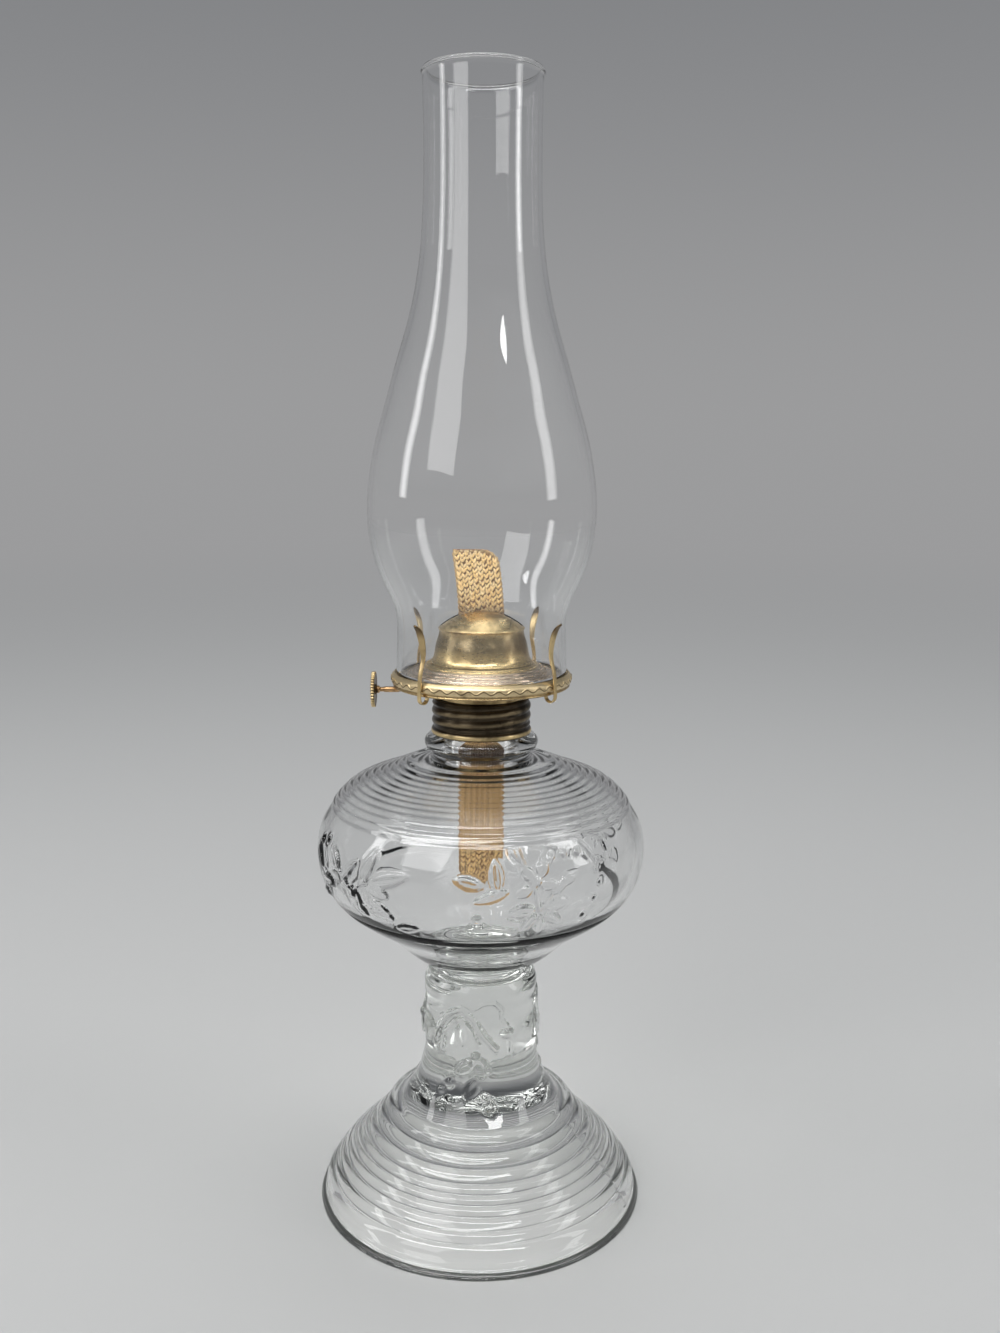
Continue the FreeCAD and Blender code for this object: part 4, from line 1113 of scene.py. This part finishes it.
class OILLAMP_OT_brass_nodes(bpy.types.Operator):
    """Gives the sheet brass parts of the burner their aged finish"""
    bl_idname = "oil_lamp.brass_nodes"
    bl_label = "Sheet brass finish"

    def execute(self, context):
        brass = context.scene.oil_lamp_brass
        carried = frame["record"]["behaviour"]["bodies"]
        shade = dome_high.x + 2.2 * MM
        flange = brass_material("Flange brass", sheet_tints(brass), age=0.25, rough=0.22, washes=[
            (lambda tree: axis_distance(tree).ramp(shade, shade + 1.0 * MM), brass.rosy),
            (lambda tree: axis_distance(tree).ramp(chimney_radius, chimney_radius + 0.5 * MM), brass.dull),
        ])
        for name in carried["burner"] + carried["deflector"] + carried["winder"]:
            for slot in frame["nodes"][name].material_slots:
                slot.material = flange if name == "gallery" else aged_brass(brass)
        return {"FINISHED"}


class OILLAMP_OT_dome(bpy.types.Operator):
    """Spins the slotted dome over the wick, sooty inside, with a dark reflection painted round its middle"""
    bl_idname = "oil_lamp.dome"
    bl_label = "Flame dome"

    def execute(self, context):
        brass = context.scene.oil_lamp_brass
        foot = dome_high.x
        base = dome_low.z
        apex = dome_high.z
        waist = brass.dome_waist_radius
        waist_z = base + brass.dome_waist_height
        cap_z = waist_z + 0.8 * MM
        rise = apex - cap_z
        cap_radius = (waist ** 2 + rise ** 2) / (2 * rise)
        cap = [(cap_radius * math.sin(turn), apex - cap_radius * (1 - math.cos(turn)))
               for turn in np.linspace(math.asin(waist / cap_radius), 0, 26)]
        skirt = near(foot, base, ((0, 0.45), (-0.6, 0.95), (-1.3, 2.0), (-1.9, 4.2), (-2.6, 8.0)))
        skirt = smooth(skirt + near(waist, waist_z, ((0.25, -2.6), (0, -0.9))), 34)
        bead = near(waist, waist_z, ((0.15, -0.6), (0.45, -0.3), (0.55, 0), (0.45, 0.3), (0.15, 0.6)))
        outside = np.array([(foot, base)] + list(skirt) + bead + cap[:-1])
        inside = (outside - outward(outside) * brass.dome_sheet)[3:][::-1]
        rings = turned_rings(outside, DOME_POINTS) + [pole(apex), pole(apex - brass.dome_sheet)]
        rings += turned_rings(list(inside) + [(inside[-1][0], base)], DOME_POINTS)
        shell = turned_mesh("dome_whole", rings, closed=True)
        cutter = box_mesh("slot_cutter", brass.slot_length, brass.slot_width, cap_z, apex + 5 * MM)
        trim = shell.modifiers.new("slot", "BOOLEAN")
        trim.operation = "DIFFERENCE"
        trim.solver = "EXACT"
        trim.object = cutter
        mesh = applied(shell)
        for extra in (shell, cutter):
            bpy.data.objects.remove(extra)
        mesh.set_sharp_from_angle(angle=math.radians(50))
        finish = brass_material("Dome brass", sheet_tints(brass), age=0.35, rough=0.22, washes=[
            # Painted reflection: a darker band round the dome between its skirt's foot and its waist
            (lambda tree: between_heights(tree, base + 6 * MM, waist_z - 2 * MM, 2.5 * MM), brass.dome_painted_reflection),
            (lambda tree: facing_in(tree, base), SOOT),
        ])
        finish_piece(new_object("dome_shell", mesh), finish, "deflector", "aged_brass", "flame_deflector")
        return {"FINISHED"}


def box_mesh(name, width, depth, low, high):
    """A plain box round the axis, used to cut."""
    points = [(x * width / 2, y * depth / 2, z)
              for z in (low, high) for x, y in ((-1, -1), (1, -1), (1, 1), (-1, 1))]
    faces = [(0, 3, 2, 1), (4, 5, 6, 7), (0, 1, 5, 4), (1, 2, 6, 5), (2, 3, 7, 6), (3, 0, 4, 7)]
    return plain_mesh(name, points, faces, flat=True)


def cords_mesh(name, cords, around=DOME_POINTS, across=8):
    """Several ring cords as one mesh, each given by its radius, level and thickness."""
    points, faces = [], []
    for radius, level, thickness in cords:
        line = [(radius + thickness * math.cos(turn), level + thickness * math.sin(turn))
                for turn in full_turn(across)]
        rings = turned_rings(line, around)
        first = len(points) * around
        for i in range(across):
            faces += between(rings[i], rings[i], first + i * around, first + (i + 1) % across * around)
        points += rings
    return plain_mesh(name, np.concatenate(points), faces)


class OILLAMP_OT_flange_rolls(bpy.types.Operator):
    """Rolls the edges of the flange's steps, the rings round the dome"""
    bl_idname = "oil_lamp.flange_rolls"
    bl_label = "Flange rolls"

    def execute(self, context):
        brass = context.scene.oil_lamp_brass
        steps = brass.flange_step_count
        inner = dome_high.x + 0.2 * MM
        width = brass.flange_radius - inner
        top = dome_low.z - 0.3 * MM
        cords = []
        for share in [(i + 1) / steps for i in range(steps)]:
            cords.append((inner + width * share - 0.2 * MM, top - brass.flange_drop * share - 0.02 * MM,
                          brass.flange_roll))
        gold_end = inner + width * 1.5 / steps
        tints = (brass.bright, brass.cream, brass.tarnish)
        rubbed = brass_material("Rubbed flange brass", tints, age=0.1, rough=0.16, washes=[
            (lambda tree: axis_distance(tree).ramp(gold_end, gold_end + 0.5 * MM), brass.rosy),
        ])
        finish_piece(cords_mesh("flange_rolls", cords), rubbed, "burner", "aged_brass")
        return {"FINISHED"}


def helix_ridge(levels, number, pitch, depth, sharpness):
    """Heights of a rolled thread, in step with the neck's own thread."""
    turns = np.arange(number) / number - 0.25
    phase = (levels[:, None] - (font_high.z - THREAD_DROP)) / pitch - turns[None, :]
    return depth * (0.5 + 0.5 * np.cos(2 * math.pi * phase)) ** sharpness


class OILLAMP_OT_screw_ring(bpy.types.Operator):
    """Rolls the dark screw ring, with its helical ridges and plain foot band"""
    bl_idname = "oil_lamp.screw_ring"
    bl_label = "Screw ring"

    def execute(self, context):
        brass = context.scene.oil_lamp_brass
        pitch = context.scene.oil_lamp_glass.thread_pitch
        core = brass.ring_core_radius
        sheet = brass.ring_sheet
        band = ring_high.x
        foot = ring_low.z
        top = ring_high.z
        band_top = foot + brass.ring_band_height
        levels = np.linspace(band_top + 0.7 * MM, top - 0.9 * MM, 46)
        ends = np.clip(np.minimum(levels - levels[0], levels[-1] - levels) / (1.2 * MM), 0, 1)[:, None]
        ridge = helix_ridge(levels, RING_POINTS, pitch, brass.ridge_depth, 0.55) * ends
        low = near(band, foot, ((-0.25, 0), (0, 0.35))) + near(band, band_top, ((0, -0.5), (-0.35, 0)))
        rings = turned_rings(smooth(low + near(core, band_top, [(0.1, 0.45)]), 10), RING_POINTS)
        rings += turned_rings([(core, level) for level in levels], RING_POINTS, ridge)
        hole = brass.ring_hole_radius
        crown = near(core, top, ((0, -0.7), (-0.2, -0.15), (-0.7, 0))) + [(hole, top), (hole, top - sheet)]
        rings += turned_rings(crown + near(core, top - sheet, [(-1.2, 0)]), RING_POINTS)
        wall = [(core - sheet, level) for level in levels[::-1]]
        rings += turned_rings(wall, RING_POINTS, -ridge[::-1] * 1.1)
        inner = near(core - sheet, band_top, [(0.1, 0.1)]) + near(band - sheet, band_top, [(0, -0.4)])
        rings += turned_rings(inner + near(band - sheet, foot, [(0, 0.2)]), RING_POINTS)
        piece = turned_mesh("screw_ring_rolled", rings, closed=True)
        crest = (core + 0.70 * brass.ridge_depth, core + 1.15 * brass.ridge_depth)
        plain = (foot + 0.5 * MM, band_top - 0.6 * MM)
        tints = (brass.antique, darker(brass.antique, 0.6), RING_PITS)
        dark = brass_material("Dark brass", tints, age=0.35, rough=0.25, washes=[
            # Painted highlight and wear: the crests, far from the axis, are painted a lighter brass than the
            # dark grooves
            (lambda tree: crest_wear_and_highlight(tree, *crest), CREST_WEAR_AND_HIGHLIGHT),
            (lambda tree: between_heights(tree, *plain, 0.3 * MM), brass.bright),
        ])
        finish_piece(piece, dark, "screw_ring", "dark_brass", "screw_ring")
        return {"FINISHED"}


def wave_tree():
    """A wave pressed round the gallery's rim."""
    tree, given = new_tree("Rim wave", Float=("Radius", "Level", "Wave Height", "Cord"), Int=("Waves",),
                           Material=("Material",))
    ring = node(tree, "GeometryNodeCurvePrimitiveCircle",
                {"Resolution": given["Waves"] * 14, "Radius": given["Radius"]})
    factor = Value(tree, node(tree, "GeometryNodeSplineParameter").outputs["Factor"])
    turn = factor * given["Waves"] * (2 * math.pi)
    rise = given["Level"] + maths(tree, "SINE", turn) * given["Wave Height"]
    lift = node(tree, "ShaderNodeCombineXYZ", {2: rise})
    wave = node(tree, "GeometryNodeSetPosition", {"Geometry": ring, "Offset": lift})
    cord = node(tree, "GeometryNodeCurvePrimitiveCircle", {"Resolution": 7, "Radius": given["Cord"] * 0.5})
    rope = node(tree, "GeometryNodeCurveToMesh", {"Curve": wave, "Profile Curve": cord})
    close_tree(tree, [rope], given["Material"])
    return tree


class OILLAMP_OT_gallery_rim(bpy.types.Operator):
    """Rolls the convex rim of the gallery, presses its wave, and lays a dark cord under the wave as a painted
    shadow line
    """
    bl_idname = "oil_lamp.gallery_rim"
    bl_label = "Gallery rim"

    def execute(self, context):
        brass = context.scene.oil_lamp_brass
        rim = gallery_high.x
        lip_top = chimney_low.z + 0.6 * MM
        foot = gallery_low.z + 1.6 * MM
        bulge = brass.rim_bulge
        middle = (foot + lip_top) / 2
        section = near(rim, foot, ((-0.9, 0.9), (-0.75, 0.25), (-0.1, 0)))
        section += near(rim + 0.6 * bulge, foot, [(0, 0.3)]) + near(rim + bulge, foot, [(0, 1.1)])
        section += [(rim + 0.95 * bulge, middle)] + near(rim + 0.45 * bulge, lip_top, [(0, -1.3)])
        section += near(rim, lip_top, ((-0.45, -0.35), (-0.85, 0), (-1.15, -0.25)))
        section += near(rim, middle, [(-1.0, 0)])
        rings = turned_rings(smooth(section + section[:1], 37)[:-1], RIM_POINTS)
        tints = (brass.cream, darker(brass.cream, 0.78), brass.tarnish)
        pale = brass_material("Rim brass", tints, age=0.18, rough=0.3)
        finish_piece(turned_mesh("gallery_rim", rings, closed=True), pale, "burner", "aged_brass")
        # Painted shadow: a dark brass cord just under the wave stands in for the shadow line beneath the
        # pressed wave
        tints = (brass.tarnish, darker(brass.tarnish, 0.6), PAINTED_SHADOW_PITS)
        groove = brass_material("Groove brass", tints, age=0.3, rough=0.45)
        for name, reach, drop, thickness, finish in (
                ("gallery_rim_wave", 0.86, 0.1, 1.0, pale), ("gallery_rim_groove", 0.88, 0.55, 0.75, groove)):
            values = {
                "Radius": rim + bulge * reach, "Level": middle - drop * MM, "Waves": brass.wave_count,
                "Wave Height": brass.wave_height, "Cord": thickness * brass.wave_cord, "Material": finish,
            }
            finish_piece(grown(name, wave_tree(), values), finish, "burner", "aged_brass")
        return {"FINISHED"}


def strip_rings(path, widths, thickness, angle):
    """Rings of a bent strip that follows a path of radius and height, turned to an angle round the lamp."""
    across, through = [squared(wave(full_turn(20)), 0.5) for wave in (np.cos, np.sin)]
    sine, cosine = math.sin(angle), math.cos(angle)
    rings = []
    for (radius, level), (out, up), width in zip(path, outward(path), widths):
        cup = -0.015 * width * across ** 2
        lift = through * thickness / 2 + cup
        reach = radius + lift * out
        side = across * width / 2
        rings.append(np.column_stack([reach * cosine - side * sine, reach * sine + side * cosine,
                                      level + lift * up]))
    return capped(rings)


class OILLAMP_OT_prongs(bpy.types.Operator):
    """Bends the four springy prongs that hold the chimney"""
    bl_idname = "oil_lamp.prongs"
    bl_label = "Chimney prongs"

    def execute(self, context):
        brass = context.scene.oil_lamp_brass
        outer = gallery_high.x + 1.65 * MM
        inner = outer - 5.0 * MM
        hook_z = gallery_low.z - 3.5 * MM + 2.9 * MM
        grip = chimney_radius + 0.75 * MM
        seat_z = chimney_low.z - 0.3 * MM
        hook = [((inner + outer) / 2 - 2.5 * MM * math.cos(turn), hook_z - 2.5 * MM * math.sin(turn))
                for turn in np.linspace(0, math.pi, 9)]
        path = near(inner, hook_z, ((0, 2.2), (0, 1.0))) + hook + near(outer, hook_z, ((0, 2.6), (-0.1, 5.0)))
        path += near(outer, seat_z, [(-0.85, 5.2)])
        path += near(grip, seat_z, ((0.25, 10.0), (0, 13.5), (0.5, 17.5), (1.7, 21.5)))
        path += near(grip, seat_z, ((3.4, 24.3), (5.2, 25.8)))
        line = smooth(path, 90)
        share = travelled(line) / travelled(line)[-1]
        stem = brass.prong_stem_width
        leaf = brass.prong_leaf_width / stem
        swell = np.interp(share, (0, 0.42, 0.60, 0.74, 0.86, 0.95, 1.0),
                          (1.0, 1.0, 1.15, 0.85 * leaf, leaf, 0.8 * leaf, 0.5))
        tip = seat_z + 19 * MM
        # Painted shade: the leaf tips above this height are darkened to the tarnish colour, standing in for
        # the shadow on their curled ends
        finish = brass_material("Prong brass", sheet_tints(brass), age=0.2, rough=0.24, washes=[
            (lambda tree: coordinate(tree, 2).ramp(tip, tip + 5 * MM), brass.tarnish),
        ])
        for name, angle in PRONG_ANGLES.items():
            rings = strip_rings(line, stem * swell, brass.prong_thickness, math.radians(angle))
            finish_piece(turned_mesh(name + "_strip", rings), finish, name, "aged_brass", name)
        return {"FINISHED"}


def about_shaft(rings):
    """Rings that were turned round Z, laid on the winder shaft with their height along -X."""
    return [np.column_stack([-ring[:, 2], wheel_y + ring[:, 0], wheel_z + ring[:, 1]]) for ring in rings]


def milled_tree():
    """Ribs round a rim: one rib on each point of a circle."""
    tree, given = new_tree("Milled rim", Int=("Count",), Float=("Radius", "Rib", "Thickness"),
                           Vector=("Centre",), Material=("Material",))
    spots = node(tree, "GeometryNodeMeshCircle", {"Vertices": given["Count"], "Radius": given["Radius"]},
                 fill_type="NONE")
    rib = node(tree, "GeometryNodeMeshCylinder",
               {"Vertices": 8, "Radius": given["Rib"], "Depth": given["Thickness"]})
    ribs = node(tree, "GeometryNodeInstanceOnPoints", {"Points": spots, "Instance": rib})
    laid = node(tree, "GeometryNodeTransform",
                {"Geometry": ribs, "Rotation": (0, math.pi / 2, 0), "Translation": given["Centre"]})
    close_tree(tree, [given["Geometry"], laid], given["Material"])
    return tree


class OILLAMP_OT_winder(bpy.types.Operator):
    """Turns the coppery winder shaft and mills the thumb wheel"""
    bl_idname = "oil_lamp.winder"
    bl_label = "Winder shaft and thumb wheel"

    def execute(self, context):
        brass = context.scene.oil_lamp_brass
        near_face = -wheel_high.x
        far_face = -wheel_low.x
        radius = (wheel_high.z - wheel_low.z) / 2
        rib = radius * math.pi / brass.wheel_tooth_count * 0.72
        body = radius - rib * 1.45
        profile = near(0, near_face, ((2.35, 0.2), (2.3, 0.75), (2.9, 0.95)))
        profile += near(body, near_face, ((-1.2, 1.0), (-0.5, 0.75), (0, 0.85)))
        profile += near(body, far_face, ((0, -0.1), (-0.5, 0), (-1.2, -0.25)))
        profile += near(0, far_face, ((2.9, -0.2), (2.0, 0.05)))
        rings = [pole(near_face + 0.1 * MM)] + turned_rings(profile, WHEEL_POINTS)
        disc = turned_mesh("wheel_disc", about_shaft(rings + [pole(far_face + 0.1 * MM)]))
        tints = (brass.cream, brass.bright, brass.tarnish)
        milled = brass_material("Milled brass", tints, age=0.15, rough=0.24, washes=[
            (lambda tree: 1.0 - wheel_reach(tree).ramp(body, body + 0.55 * MM), brass.tarnish),
        ])
        centre = (-(near_face + far_face + 0.75 * MM) / 2, wheel_y, wheel_z)
        values = {"Count": brass.wheel_tooth_count, "Radius": radius - rib, "Rib": rib,
                  "Thickness": far_face - near_face - 0.75 * MM, "Centre": centre, "Material": milled}
        mesh = disc.data
        bpy.data.objects.remove(disc)
        wheel = grown("thumb_wheel_milled", milled_tree(), values, mesh)
        finish_piece(wheel, milled, "winder", "aged_brass", "thumb_wheel")
        rod = (shaft_high.z - shaft_low.z) / 2 - 0.5 * MM
        tail = -shaft_high.x
        tip = -shaft_low.x
        line = near(0, tail, ((1.5, 0.1), (1.5, 0.6))) + near(rod, tail, [(0, 0.7)])
        line += [(share * rod, level * MM)
                 for share, level in ((1, -8), (1, 8), (1, 37), (1.25, 38), (1.3, 42))]
        line += [(share * rod, near_face + level * MM) for share, level in (
            (1.28, -3.4), (1.05, -3.0), (1.05, -1.2), (1.7, -0.9), (1.7, 0.1), (1, 0.2))]
        line += near(rod, far_face, [(0, 0.05)]) + near(0, far_face, ((1.45, 0.12), (1.35, 0.45)))
        line += [(0.9 * MM, tip)]
        rings = [pole(tail)] + turned_rings(line, ROD_POINTS) + [pole(tip + 0.05 * MM)]
        piece = turned_mesh("winder_rod", about_shaft(rings))
        tints = (brass.copper, darker(brass.copper, 0.8), brass.tarnish)
        copper = brass_material("Coppery brass", tints, age=0.25, rough=0.28)
        finish_piece(piece, copper, "winder", "coppery_brass", "winder_shaft")
        return {"FINISHED"}


def wick_shift(levels, wick):
    """How far the wick's middle lies to the side at each height."""
    start = dome_low.z + wick.lean_start
    share = np.clip((levels - start) / (wick_high.z - start), 0, 1)
    return -wick.lean * share ** LEAN_CURVE


def tape_rings(wick):
    """Sections of the tape from its tail to its top, with the burnt-off corner."""
    corner = wick.corner
    turn_z = wick_high.z - corner
    levels = np.concatenate([np.linspace(wick_low.z, turn_z, 60),
                             wick_high.z - corner * (1 - np.sin(np.linspace(0, math.pi / 2, 14)))[1:]])
    turns = full_turn(36)
    wide = squared(np.cos(turns), 0.35)
    through = squared(np.sin(turns), 0.7) * wick.tape_thickness / 2
    rings = []
    for level, shift in zip(levels, wick_shift(levels, wick)):
        rise = max(0, level - turn_z)
        cut = corner - math.sqrt(max(corner ** 2 - rise ** 2, 0))
        width = wick_high.x - cut / 2 - 0.5 * MM
        rings.append(np.column_stack([shift - cut / 2 + wide * width, through, np.full(36, level)]))
    return capped(rings)


def stitched_face(tree, given, side):
    """One face of the weave: slanting stitches in pairs of columns."""
    rows = given["Rows"]
    width = given["Width"]
    corner = given["Corner"]
    top = given["Top"]
    index = Value(tree, node(tree, "GeometryNodeInputIndex").outputs[0])
    column = maths(tree, "FLOOR", index / rows)
    pair = maths(tree, "FLOOR", column / 2) % 2

    def uneven(low, high, shift):
        draw = node(tree, "FunctionNodeRandomValue", {
            2: low, 3: high, "ID": index, "Seed": given["Seed"] + (side + 2 + shift),
        }, data_type="FLOAT")
        return Value(tree, draw.outputs[1])

    level = index % rows + pair * 0.5 + uneven(-0.16, 0.16, 0)
    z = given["Bottom"] + (level + 0.45) * (given["Height"] / rows)
    x = ((column + uneven(0.38, 0.62, 10)) / given["Columns"] - 0.5) * width
    right = maths(tree, "MAXIMUM", x - (width * 0.5 - corner), 0)
    over = maths(tree, "MAXIMUM", z - (top - corner), 0)
    away = maths(tree, "SQRT", right * right + over * over)
    outside = maths(tree, "MAXIMUM", maths(tree, "GREATER_THAN", away, corner),
                    maths(tree, "GREATER_THAN", z, top))
    lean_share = node(tree, "ShaderNodeMapRange",
                      {"Value": z, "From Min": given["Lean Start"], "From Max": top})
    shift = maths(tree, "POWER", lean_share, LEAN_CURVE) * given["Lean"]
    place = node(tree, "ShaderNodeCombineXYZ", {0: x - shift, 1: given["Thickness"] * (side * 0.5), 2: z})
    points = node(tree, "GeometryNodePoints",
                  {"Count": rows * given["Columns"], "Position": place, "Radius": MM})
    kept = node(tree, "GeometryNodeDeleteGeometry", {"Geometry": points, "Selection": outside})
    stitch = node(tree, "GeometryNodeMeshUVSphere", {"Segments": 8, "Rings": 5, "Radius": 0.5})
    size = node(tree, "ShaderNodeCombineXYZ",
                {0: given["Stitch Width"], 1: given["Stitch Depth"], 2: given["Stitch Length"]})
    shaped = node(tree, "GeometryNodeTransform", {"Geometry": stitch, "Scale": size})
    slant = (column % 2 * 2 - 1) * given["Stitch Turn"] + uneven(-0.2, 0.2, 20)
    turn = node(tree, "ShaderNodeCombineXYZ", {0: uneven(-0.08, 0.08, 30) + 0.14 * side, 1: slant})
    return node(tree, "GeometryNodeInstanceOnPoints", {
        "Points": kept, "Instance": shaped, "Rotation": turn, "Scale": uneven(0.88, 1.14, 40),
    })


def stitch_tree():
    """The weave of the wick on both faces."""
    tree, given = new_tree(
        "Wick stitches", Int=("Columns", "Rows", "Seed"), Material=("Material",),
        Float=("Width", "Height", "Bottom", "Top", "Thickness", "Corner", "Lean", "Lean Start",
               "Stitch Length", "Stitch Width", "Stitch Depth", "Stitch Turn"))
    close_tree(tree, [stitched_face(tree, given, side) for side in (-1, 1)], given["Material"])
    return tree


def selvedge_rings(wick):
    """Rings of the lumpy edge cord that runs round the wick's outline."""
    cord = wick.edge_cord
    left, right = wick_low.x + cord, wick_high.x - cord
    low, high = wick_low.z + cord, wick_high.z - cord
    round_right = wick.corner - cord
    round_left = 1.2 * MM
    outline = [(left, level) for level in np.linspace(low, high - round_left, 150)]
    outline += [(left + round_left * (1 - math.cos(turn)), high - round_left * (1 - math.sin(turn)))
                for turn in np.linspace(0, math.pi / 2, 5)[1:]]
    outline += [(right - round_right * (1 - math.sin(turn)), high - round_right * (1 - math.cos(turn)))
                for turn in np.linspace(0, math.pi / 2, 14)]
    outline += [(right, level) for level in np.linspace(high - round_right, low, 150)[1:]]
    outline = np.array(outline + [outline[0]])
    travel = travelled(outline)
    places = np.linspace(0, travel[-1], 700)[:-1]
    across, level = [np.interp(places, travel, values) for values in outline.T]
    path = np.column_stack([across + wick_shift(level, wick), level])
    square = outward(np.vstack([path[-1], path, path[0]]))[1:-1]
    swell = cord * (1 + 0.2 * np.sin(2 * math.pi * places / wick.edge_twist))
    turns = full_turn(8)
    rings = []
    for (x, z), (out_x, out_z), girth in zip(path, square, swell):
        rings.append(np.column_stack([x + girth * np.cos(turns) * out_x, 1.25 * girth * np.sin(turns),
                                      z + girth * np.cos(turns) * out_z]))
    return rings


def cotton_material(name, wick, shade):
    """Cotton stained by oil, golden at the top and brown below, with a painted shadow where the neck holds it
    and painted shade between the stitches.
    """
    material, tree = new_material(name)
    level = coordinate(tree, 2) + object_noise(tree, 160.0, 3.0) * (9 * MM)
    dry = level.ramp(dome_high.z - 2 * MM, wick_high.z - 10 * MM)
    tail = 1.0 - level.ramp(wick_low.z + 12 * MM, wick_low.z + 34 * MM)
    tint = blend_colours(tail * 0.48, wick.brown, wick.golden)
    tint = blend_colours(dry, tint, wick.golden)
    row_turns = coordinate(tree, 2) * (2 * math.pi * wick.rows / (wick_high.z - wick_low.z))
    column_turns = coordinate(tree, 0) * (math.pi * wick.columns / (wick_high.x - wick_low.x))
    marks = maths(tree, "SINE", row_turns).ramp(-0.2, 0.7) * 0.5 + 0.5
    marks = marks * (maths(tree, "SINE", column_turns).ramp(-0.5, 1.0) * 0.65 + 0.35)
    marks = marks * object_noise(tree, 420.0, 3.0).ramp(0.33, 0.52) * (0.8 - dry * 0.8)
    tint = blend_colours(marks, tint, WEAVE_MARKS)
    # Painted shadow: the wick inside the neck and under the dome is darkened towards the neck shadow colour
    neck = level.ramp(font_high.z - 27 * MM, font_high.z - 21 * MM)
    neck = neck - level.ramp(dome_high.z - 3 * MM, dome_high.z + 9 * MM)
    tint = blend_colours(neck * 0.95, tint, wick.neck_shadow)
    char = level.ramp(wick_high.z + 1.5 * MM, wick_high.z + 4.5 * MM)
    tint = blend_colours(char * 0.7, tint, WICK_CHAR)
    mottle = object_noise(tree, 420.0, 4.0).ramp(0.35, 0.7)
    tint = blend_colours(mottle * (dry * 0.4 + 0.15), tint, WICK_PALE)
    # Painted shade: the sunk places nearer the tape's middle, between the stitches, are darkened by the given
    # share
    depth = maths(tree, "ABSOLUTE", coordinate(tree, 1))
    gap_shade = 1.0 - depth.ramp(0.70 * MM, 1.25 * MM)
    fibres = object_noise(tree, 2600.0, 2.0, (1, 1, 0.3))
    cotton = node(tree, "ShaderNodeBsdfPrincipled", {
        "Base Color": blend_colours(gap_shade * shade, tint, WEAVE_GAP_SHADE), "Roughness": 0.85, "Sheen Weight": 0.25,
        "Normal": bumps(tree, fibres, COTTON_BUMP),
    })
    node(tree, "ShaderNodeOutputMaterial", {"Surface": cotton})
    return material


class OILLAMP_OT_wick(bpy.types.Operator):
    """Weaves the flat wick, which leans a little above the dome"""
    bl_idname = "oil_lamp.wick"
    bl_label = "Woven wick"

    def execute(self, context):
        wick = context.scene.oil_lamp_wick
        tape = turned_mesh("wick_tape", tape_rings(wick))
        # The tape under the stitches gets the deeper painted shade, the stitches a lighter one
        finish_piece(tape, cotton_material("Wick ground", wick, 0.9), "wick", "wick_cotton", "wick")
        material = cotton_material("Wick cotton", wick, 0.65)
        width = wick_high.x - wick_low.x
        values = {
            "Width": width - 1.6 * MM, "Height": wick_high.z - wick_low.z, "Bottom": wick_low.z,
            "Top": wick_high.z - 1.2 * MM, "Thickness": wick.tape_thickness - 0.2 * MM,
            "Corner": wick.corner - 0.8 * MM, "Lean": wick.lean, "Lean Start": dome_low.z + wick.lean_start,
            "Stitch Length": wick.stitch_length, "Stitch Width": wick.stitch_width,
            "Stitch Depth": wick.stitch_depth, "Stitch Turn": wick.stitch_turn, "Columns": wick.columns,
            "Rows": wick.rows, "Seed": wick.seed, "Material": material,
        }
        weave = grown("wick_stitches", stitch_tree(), values)
        finish_piece(weave, material, "wick", "wick_cotton")
        edge = turned_mesh("wick_edge", selvedge_rings(wick), closed=True)
        finish_piece(edge, material, "wick", "wick_cotton")
        for piece in (tape, weave, edge):
            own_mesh(piece)
        return {"FINISHED"}


class OILLAMP_PT_panel(bpy.types.Panel):
    """Lists the lamp's makers"""
    bl_idname = "OILLAMP_PT_panel"
    bl_label = "Oil Lamp"
    bl_space_type = "VIEW_3D"
    bl_region_type = "UI"
    bl_category = "Oil Lamp"

    def draw(self, context):
        for operator in OPERATORS:
            self.layout.operator(operator.bl_idname)


SETTINGS = {"oil_lamp_glass": GlassSettings, "oil_lamp_brass": BrassSettings, "oil_lamp_wick": WickSettings,
            "oil_lamp_stage": StageSettings}
OPERATORS = (OILLAMP_OT_stage, OILLAMP_OT_glass_base, OILLAMP_OT_mould_seam, OILLAMP_OT_chimney,
             OILLAMP_OT_brass_nodes, OILLAMP_OT_dome, OILLAMP_OT_flange_rolls, OILLAMP_OT_screw_ring,
             OILLAMP_OT_gallery_rim, OILLAMP_OT_prongs, OILLAMP_OT_winder, OILLAMP_OT_wick)


def register():
    for name, group in SETTINGS.items():
        bpy.utils.register_class(group)
        setattr(bpy.types.Scene, name, bpy.props.PointerProperty(type=group))
    for kind in (*OPERATORS, OILLAMP_PT_panel):
        bpy.utils.register_class(kind)


def unregister():
    for kind in (OILLAMP_PT_panel, *reversed(OPERATORS)):
        bpy.utils.unregister_class(kind)
    for name, group in reversed(list(SETTINGS.items())):
        delattr(bpy.types.Scene, name)
        bpy.utils.unregister_class(group)


def main():
    register()
    bpy.ops.oil_lamp.stage()
    bpy.ops.oil_lamp.glass_base()
    bpy.ops.oil_lamp.mould_seam()
    bpy.ops.oil_lamp.chimney()
    bpy.ops.oil_lamp.brass_nodes()
    bpy.ops.oil_lamp.dome()
    bpy.ops.oil_lamp.flange_rolls()
    bpy.ops.oil_lamp.screw_ring()
    bpy.ops.oil_lamp.gallery_rim()
    bpy.ops.oil_lamp.prongs()
    bpy.ops.oil_lamp.winder()
    bpy.ops.oil_lamp.wick()


if __name__ == "__main__":
    main()
